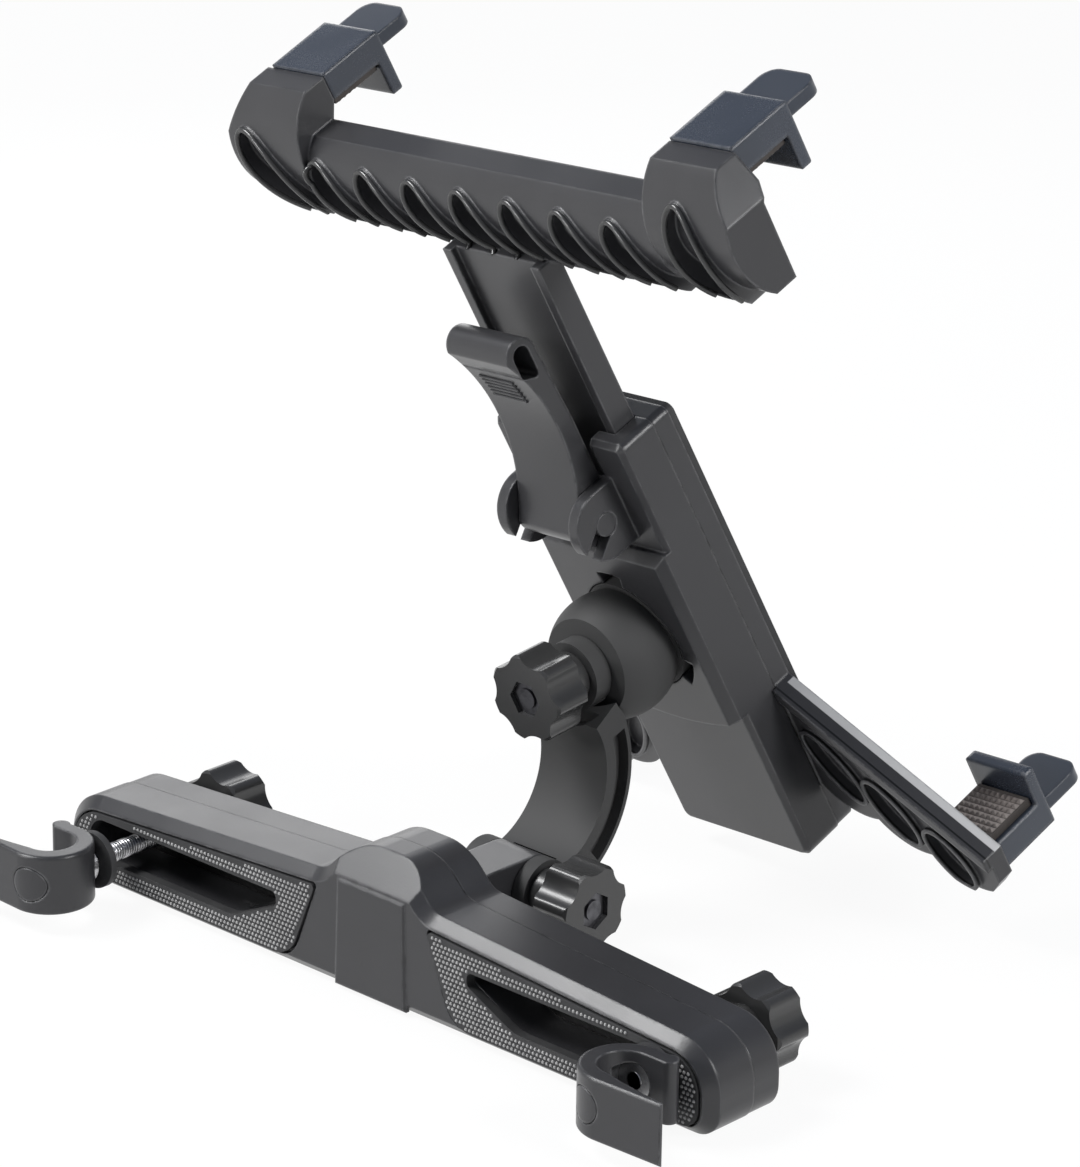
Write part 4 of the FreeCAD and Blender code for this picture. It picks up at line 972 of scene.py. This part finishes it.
@dataclass
class Cradle(SubAssembly):
    """Cradle body of two covers with its studded front pad, screws and slide lever.

    Attributes:
        axes: The cradle's directions.
        stud: Size of the front pad's studs.
        seam: Line between the two covers.
        highlight_above: Height of the painted highlight on the wings' rims above the seam in metres.
        highlight_width: Width of the painted highlight in metres.
        highlight_colour: Colour of the painted highlight.
        highlight_clear: Distance of the painted highlight from the body's sides in metres.
        ridges: Number of thumb ridges on the lever.
        ridge_pitch: Distance between ridges in metres.
        ridge_length: Length of a ridge in metres.
        ridge_radius: Radius of a ridge in metres.
        ridge_sides: Sides of a ridge.
        ridge_squash: Height of a ridge as a share of its width.
        ridge_aside: Middle of the ridges from the lever's middle in metres.
        ridge_below: First ridge below the lever's top in metres.
        search: Distance behind the lever from which its surface is searched in metres.
    """

    axes: CradleFrame
    stud: StudSize = StudSize(pitch=2.0 * MM, height=0.7 * MM, base=0.85 * MM, top=0.5 * MM, margin=0.9 * MM)
    seam: Seam = Seam()
    highlight_above: float = 3.0 * MM
    highlight_width: float = 2.4 * MM
    highlight_colour: Triple = (0.40, 0.40, 0.40)
    highlight_clear: float = 1.0 * MM
    ridges: int = 6
    ridge_pitch: float = 1.25 * MM
    ridge_length: float = 12.0 * MM
    ridge_radius: float = 0.5 * MM
    ridge_sides: int = 10
    ridge_squash: float = 0.8
    ridge_aside: float = -1.5 * MM
    ridge_below: float = 12.5 * MM
    search: float = 10.0 * MM

    def nodes(self) -> Sequence[str]:
        """The cradle body's nodes."""
        return "back_cover", "front_cover", "front_pad", "cover_screws", "slide_lever"

    def tints(self, node: str) -> List[Tint]:
        """Clip tongues, seam and the painted highlight on the wings' upward rims, on the covers.

        Args:
            node: CAD node.

        Returns:
            The tints, none for the smaller pieces.
        """
        axes = self.axes
        out = tuple(axes.out)
        meet = axes.extent("back_cover", axes.out)[1]
        seam = self.seam.tint(out, meet)
        if node == "back_cover":
            return [seam]
        if node != "front_cover":
            return []
        low, high = axes.extent("back_cover", axes.across)
        # Painted highlight: a pale strip on the wings' upward-facing rims, where they catch the light.
        strip = PaintedHighlightStrip(along=out, start=meet + self.highlight_above, width=self.highlight_width,
                         colour=self.highlight_colour, up=tuple(axes.up), across=tuple(axes.across),
                         middle=(low + high) / 2, half=(high - low) / 2 + self.highlight_clear)
        return [axes.tongue(), seam, strip]

    def pad_studs(self, tree: StudTree) -> None:
        """Makes the front pad's studs.

        Args:
            tree: Tree that sets the studs.
        """
        axes = self.axes
        low_v, high_v = axes.extent("front_pad", axes.up)
        low_a, high_a = axes.extent("front_pad", axes.across)
        face = FaceFrame(axes.rest, -axes.across, axes.up)
        span = ((high_a - low_a) / 2, (high_v - low_v) / 2)
        StuddedFace("front_pad_studs", "front_pad", "cradle", face, span, self.stud, Finish.PAD,
                    "pad_rubber").build(tree)

    def lever_ridges(self, tree: StudTree) -> None:
        """Makes the thumb ridges on the lever's own surface, below its finger curl.

        Args:
            tree: Tree that sets the ridges.
        """
        axes = self.axes
        low_a, high_a = axes.extent("slide_lever", axes.across)
        behind = axes.extent("slide_lever", axes.out)[0] - self.search
        top = axes.extent("slide_lever", axes.up)[1]
        start = (low_a + high_a) / 2 + self.ridge_aside - self.ridge_length / 2
        rays = ray_tree("slide_lever")
        levels = [top - self.ridge_below - k * self.ridge_pitch for k in range(self.ridges)]
        hits = [rays.ray_cast(axes.point(start, behind, level), axes.out)[0] for level in levels]
        made = tree.make("lever_ridges", {
            "Sides": self.ridge_sides, "Base Radius": self.ridge_radius, "Top Radius": self.ridge_radius,
            "Height": self.ridge_length, "Turn": FaceFrame(Vector(), axes.out, axes.up).turn(),
            "Spin": (0.0, 0.0, 0.0), "Stretch": (1.0, self.ridge_squash, 1.0),
            "Finish": Finish.SHELL.dress()}, [hit for hit in hits if hit is not None])
        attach(made, "lever")


@dataclass(frozen=True)
class Leaf:
    """One leaf-shaped hollow of the upper grip.

    Attributes:
        across: Middle across the cradle in metres.
        up: Middle above the cradle's foot in metres.
        slant_deg: Lean of the leaf in degrees.
        scale: Size against the leaves of the row.
    """

    across: float
    up: float
    slant_deg: float
    scale: float = 1.0


@dataclass
class UpperGrip(SubAssembly):
    """Upper grip with rounded beads along the rims of its leaf hollows.

    Attributes:
        axes: The cradle's directions.
        inner: Half length of the leaf row in metres.
        outer: Half width over the end arms in metres.
        count: Leaves of the row.
        level: Middle of the row above the cradle's foot in metres.
        end_level: Middle of the end arms' leaves above the foot in metres.
        lowest: Level above the foot under which no bead runs in metres.
        slant_deg: Lean of the leaves in degrees.
        end_slant_deg: Lean of the right end arm's leaf in degrees.
        end_scale: Size of the end arms' leaves against the row's.
        length: Half length of a leaf in metres.
        width: Half width of a leaf in metres.
        rim: Width of a leaf's rim in metres.
        bead: Radius of a bead in metres.
        bead_sides: Sides of a bead.
        bead_step: Distance between the rings of a bead in metres.
        samples: Points round one leaf.
        jump: Longest step between neighbouring points of one bead in metres.
        search: Distance behind the back cover from which the grip is searched in metres.
        search_depth: Length of the search in metres.
    """

    axes: CradleFrame
    inner: float = 62.0 * MM
    outer: float = 89.5 * MM
    count: int = 7
    level: float = 178.8 * MM
    end_level: float = 182.8 * MM
    lowest: float = 172.0 * MM
    slant_deg: float = 34.0
    end_slant_deg: float = 12.0
    end_scale: float = 1.2
    length: float = 12.6 * MM
    width: float = 5.0 * MM
    rim: float = 1.1 * MM
    bead: float = 0.72 * MM
    bead_sides: int = 10
    bead_step: float = 0.8 * MM
    samples: int = 64
    jump: float = 2.4 * MM
    search: float = 20.0 * MM
    search_depth: float = 80.0 * MM

    def nodes(self) -> Sequence[str]:
        """The grip's node."""
        return ("upper_grip",)

    def tints(self, node: str) -> List[Tint]:
        """The clip tongues."""
        return [self.axes.tongue()]

    def leaves(self) -> List[Leaf]:
        """The leaves of the row and of both end arms.

        Returns:
            The leaves, those of the end arms last.
        """
        pitch = 2 * self.inner / self.count
        places = [(k - (self.count - 1) / 2) * pitch for k in range(self.count)]
        row = [Leaf(place, self.level, self.slant_deg) for place in places]
        middle = (self.inner + self.outer) / 2
        return row + [Leaf(middle, self.end_level, self.end_slant_deg, self.end_scale),
                      Leaf(-middle, self.end_level, self.slant_deg, self.end_scale)]

    def ring(self, leaf: Leaf, rays: BVHTree) -> List[Optional[Vector]]:
        """Points round one leaf on the grip's own surface.

        Args:
            leaf: The leaf.
            rays: Search tree of the grip.

        Returns:
            The points in order, None where the bead is broken.
        """
        axes = self.axes
        low_a, high_a = axes.extent("back_cover", axes.across)
        foot = axes.extent("back_cover", axes.up)[0]
        behind = axes.extent("back_cover", axes.out)[0] - self.search
        lean = math.radians(leaf.slant_deg)
        found = []
        for k in range(self.samples):
            angle = 2 * math.pi * k / self.samples
            along = (self.length * leaf.scale - self.rim / 2) * math.cos(angle)
            aside = (self.width * leaf.scale - self.rim / 2) * math.sin(angle)
            across = leaf.across - along * math.sin(lean) + aside * math.cos(lean)
            up = leaf.up + along * math.cos(lean) + aside * math.sin(lean)
            start = axes.point((low_a + high_a) / 2 + across, behind, foot + up)
            hit = rays.ray_cast(start, axes.out, self.search_depth)[0]
            found.append(hit if up > self.lowest else None)
        return found

    def beads(self, tree: BeadTree) -> None:
        """Lays the beads.

        Args:
            tree: Tree that makes them.
        """
        rays = ray_tree("upper_grip")
        points: List[Vector] = []
        edges: List[Tuple[int, int]] = []
        for leaf in self.leaves():
            ring = self.ring(leaf, rays)
            numbers = {}
            for k, place in enumerate(ring):
                if place is not None:
                    numbers[k] = len(points)
                    points.append(place)
            for k, here in numbers.items():
                after = numbers.get((k + 1) % self.samples)
                if after is not None and (points[here] - points[after]).length < self.jump:
                    edges.append((here, after))
        # The beads take the knob plastic, glossier and paler than the grip's shell: partly a glossier finish and
        # partly a painted highlight on the leaf rims.
        made = tree.make("leaf_rim_beads", {
            "Bead Radius": self.bead, "Sides": self.bead_sides, "Step": self.bead_step,
            "Finish": Finish.KNOB.dress()}, points, edges)
        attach(made, "grip")


@dataclass
class EdgeClip(SubAssembly):
    """Sliding edge clip with checkered pyramids on its rubber pad.

    Attributes:
        level: Level of the clip.
        side: Side of the clip.
        axes: The cradle's directions.
        rows: Pyramids along the pad's shorter side.
        height: Height of a pyramid in metres.
        base: Radius of a pyramid's foot as a share of the pitch.
        top: Radius of a pyramid's top as a share of the pitch.
        margin: Bare rim of the pad as a share of the pitch.
    """

    level: Level
    side: Side
    axes: CradleFrame
    rows: int = 8
    height: float = 0.7 * MM
    base: float = 0.68
    top: float = 0.20
    margin: float = 0.40

    @property
    def name(self) -> str:
        """Name of the clip's node and body."""
        return self.level.value + "_" + self.side.value + "_clip"

    def nodes(self) -> Sequence[str]:
        """The clip and its pad."""
        return self.name, self.name + "_pad"

    def finish(self, node: str) -> Finish:
        """Bluish plastic for the clip and the record's slot for the pad."""
        return Finish.CLIP if node == self.name else super().finish(node)

    def checkers(self, tree: StudTree) -> None:
        """Makes the pyramids.

        Args:
            tree: Tree that sets them.
        """
        axes = self.axes
        node = self.name + "_pad"
        low_a, high_a = axes.extent(node, axes.across)
        low_n, high_n = axes.extent(node, axes.out)
        low_v, high_v = axes.extent(node, axes.up)
        upper = self.level is Level.UPPER
        centre = axes.point((low_a + high_a) / 2, (low_n + high_n) / 2, low_v if upper else high_v)
        facing = -axes.up if upper else axes.up
        along_out = axes.across.cross(axes.out).dot(facing) > 0
        face = FaceFrame(centre, axes.across, axes.out if along_out else -axes.out)
        span = ((high_a - low_a) / 2, (high_n - low_n) / 2)
        pitch = (high_n - low_n) / self.rows
        size = StudSize(pitch, self.height, pitch * self.base, pitch * self.top, pitch * self.margin,
                        sides=4, spin_deg=45.0)
        # The pyramids take the pale clip stud rubber, a painted highlight.
        StuddedFace(self.name + "_checkers", node, self.name, face, span, size, Finish.CLIP_STUD,
                    "clip_rubber").build(tree)


@dataclass(frozen=True)
class SoftBox:
    """A soft light that faces the holder.

    Attributes:
        name: Lamp name.
        azimuth: Degrees round the holder, as the camera's.
        elevation: Degrees above the floor.
        distance: Metres from the holder.
        size: Width and height in metres.
        power: Watts.
        target: Point that the light faces.
    """

    name: str
    azimuth: float
    elevation: float
    distance: float
    size: Pair
    power: float
    target: Triple = (0.0, 0.05, 0.1)

    def build(self) -> None:
        """Adds the lamp."""
        data = bpy.data.lights.new(self.name, "AREA")
        data.shape = "RECTANGLE"
        data.size, data.size_y = self.size
        data.energy = self.power
        lamp = bpy.data.objects.new(self.name, data)
        bpy.context.scene.collection.objects.link(lamp)
        a, e = math.radians(self.azimuth), math.radians(self.elevation)
        back = Vector((math.sin(a) * math.cos(e), -math.cos(a) * math.cos(e), math.sin(e)))
        turn = back.to_track_quat("Z", "Y").to_matrix().to_4x4()
        lamp.matrix_world = Matrix.Translation(Vector(self.target) + back * self.distance) @ turn


@dataclass
class Studio:
    """Floor, soft lights and the photograph's camera.

    Attributes:
        eye: Camera place in metres.
        target: Point that the camera looks at.
        roll_deg: Camera roll.
        focal_px: Focal length in pixels of the photograph.
        longer_px: Longer side of the photograph in pixels.
        sensor: Longer side of the sensor in millimetres.
        floor_half: Half width of the floor in metres.
        floor_drop: Depth of the floor under the holder in metres.
        floor_grey: Colour of the floor.
        floor_white: Share of white that the camera sees of the floor.
        front: Level direction of the darker side of the surround.
        horizon: Colour of the surround.
        front_colour: Colour of its darker side.
        front_band: Turn towards the front where the darker side starts and is full.
        overhead: Colour of the surround overhead.
        overhead_band: Heights where the overhead colour starts and is full.
        lamps: The soft lights.
    """

    eye: Triple = (0.7707, -0.7834, 0.5150)
    target: Triple = (0.131592, -0.097958, 0.161210)
    roll_deg: float = 0.876
    focal_px: float = 5205.0
    longer_px: int = 1167
    sensor: float = 36.0
    floor_half: float = 6.0
    floor_drop: float = 0.2 * MM
    floor_grey: Triple = (0.8, 0.8, 0.8)
    floor_white: float = 0.93
    front: Triple = (0.68, -0.73, 0.0)
    horizon: Triple = (0.85, 0.85, 0.85)
    front_colour: Triple = (0.20, 0.20, 0.20)
    front_band: Pair = (-0.3, 0.5)
    overhead: Triple = (0.16, 0.18, 0.23)
    overhead_band: Pair = (0.22, 0.5)
    lamps: Tuple[SoftBox, ...] = (
        SoftBox("key", -50.0, 50.0, 1.3, (0.5, 0.4), 18.0),
        SoftBox("front_fill", -24.0, 16.0, 1.5, (0.4, 0.3), 9.0),
        SoftBox("right_fill", 98.0, 30.0, 1.2, (0.4, 0.4), 10.0),
        SoftBox("back_strip", -129.0, 14.5, 0.7, (0.3, 0.3), 0.6))

    def camera(self) -> None:
        """Sets the camera."""
        data = bpy.data.cameras.new("photo_camera")
        data.sensor_fit = "AUTO"
        data.sensor_width = self.sensor
        data.lens = self.focal_px / self.longer_px * self.sensor
        data.clip_start = 0.01
        data.clip_end = 50.0
        seen = bpy.data.objects.new("photo_camera", data)
        bpy.context.scene.collection.objects.link(seen)
        back = (Vector(self.eye) - Vector(self.target)).normalized()
        right = Vector((0, 0, 1)).cross(back).normalized()
        up = back.cross(right)
        roll = math.radians(self.roll_deg)
        level = right * math.cos(roll) + up * math.sin(roll)
        turn = Matrix((level, back.cross(level), back)).transposed().to_4x4()
        seen.matrix_world = Matrix.Translation(Vector(self.eye)) @ turn
        bpy.context.scene.camera = seen

    def floor(self) -> None:
        """Pale floor: white to the camera, with a faint shadow."""
        mesh = bpy.data.meshes.new("floor")
        half = self.floor_half
        corners = [(-half, -half, 0), (half, -half, 0), (half, half, 0), (-half, half, 0)]
        mesh.from_pydata(corners, [], [(0, 1, 2, 3)])
        floor = bpy.data.objects.new("floor", mesh)
        bpy.context.scene.collection.objects.link(floor)
        floor.location.z = -self.floor_drop
        made = bpy.data.materials.new("floor_white")
        made.use_nodes = True
        book = NodeBook(made.node_tree)
        seen = book.node("ShaderNodeLightPath", output="Is Camera Ray")
        for ray in ("Is Glossy Ray", "Is Transmission Ray"):
            seen = seen + book.node("ShaderNodeLightPath", output=ray)
        matt = book.node("ShaderNodeBsdfDiffuse", None, {"Color": (*self.floor_grey, 1.0)})
        white = book.node("ShaderNodeEmission", None, {"Color": (1.0, 1.0, 1.0, 1.0), "Strength": 1.0})
        mixed = book.node("ShaderNodeMixShader", None, {0: seen * self.floor_white, 1: matt, 2: white})
        book.node("ShaderNodeOutputMaterial", None, {"Surface": mixed})
        mesh.materials.append(made)

    def sky(self) -> None:
        """Soft surround, darker overhead and on the side that the holder is seen from."""
        world = bpy.data.worlds.new("studio")
        bpy.context.scene.world = world
        world.use_nodes = True
        book = NodeBook(world.node_tree)
        where = book.node("ShaderNodeTexCoord", output="Generated")
        height = book.node("ShaderNodeSeparateXYZ", None, {"Vector": where}, "Z")
        level = book.mix(where.dot(self.front).band(*self.front_band), self.horizon, self.front_colour)
        colour = book.mix(height.band(*self.overhead_band), level, self.overhead)
        shader = book.node("ShaderNodeBackground", None, {"Color": colour, "Strength": 1.0})
        book.node("ShaderNodeOutputWorld", None, {"Surface": shader})

    def build(self) -> None:
        """Sets floor, surround, lights and camera."""
        self.floor()
        self.sky()
        for lamp in self.lamps:
            lamp.build()
        self.camera()
        bpy.context.scene.view_settings.view_transform = "Standard"


def main() -> None:
    """Builds the holder's sub-assemblies in order, then the studio."""
    logging.basicConfig(level=logging.INFO, format="%(name)s: %(message)s")
    axes = CradleFrame()
    bar = ClampBar()
    hooks = [PostHook(side) for side in Side]
    cradle = Cradle(axes)
    grip = UpperGrip(axes)
    clips = [EdgeClip(level, side, axes) for side in Side for level in Level]
    for part in (bar, *hooks, TiltArm(), cradle, grip, *clips):
        part.dress()
    studs = StudTree()
    threads = ThreadTree()
    for side in Side:
        bar.pad_studs(side, studs)
    for hook in hooks:
        hook.bolt(threads)
    for clip in clips:
        clip.checkers(studs)
    cradle.pad_studs(studs)
    cradle.lever_ridges(studs)
    grip.beads(BeadTree())
    Studio().build()


if __name__ == "__main__":
    main()
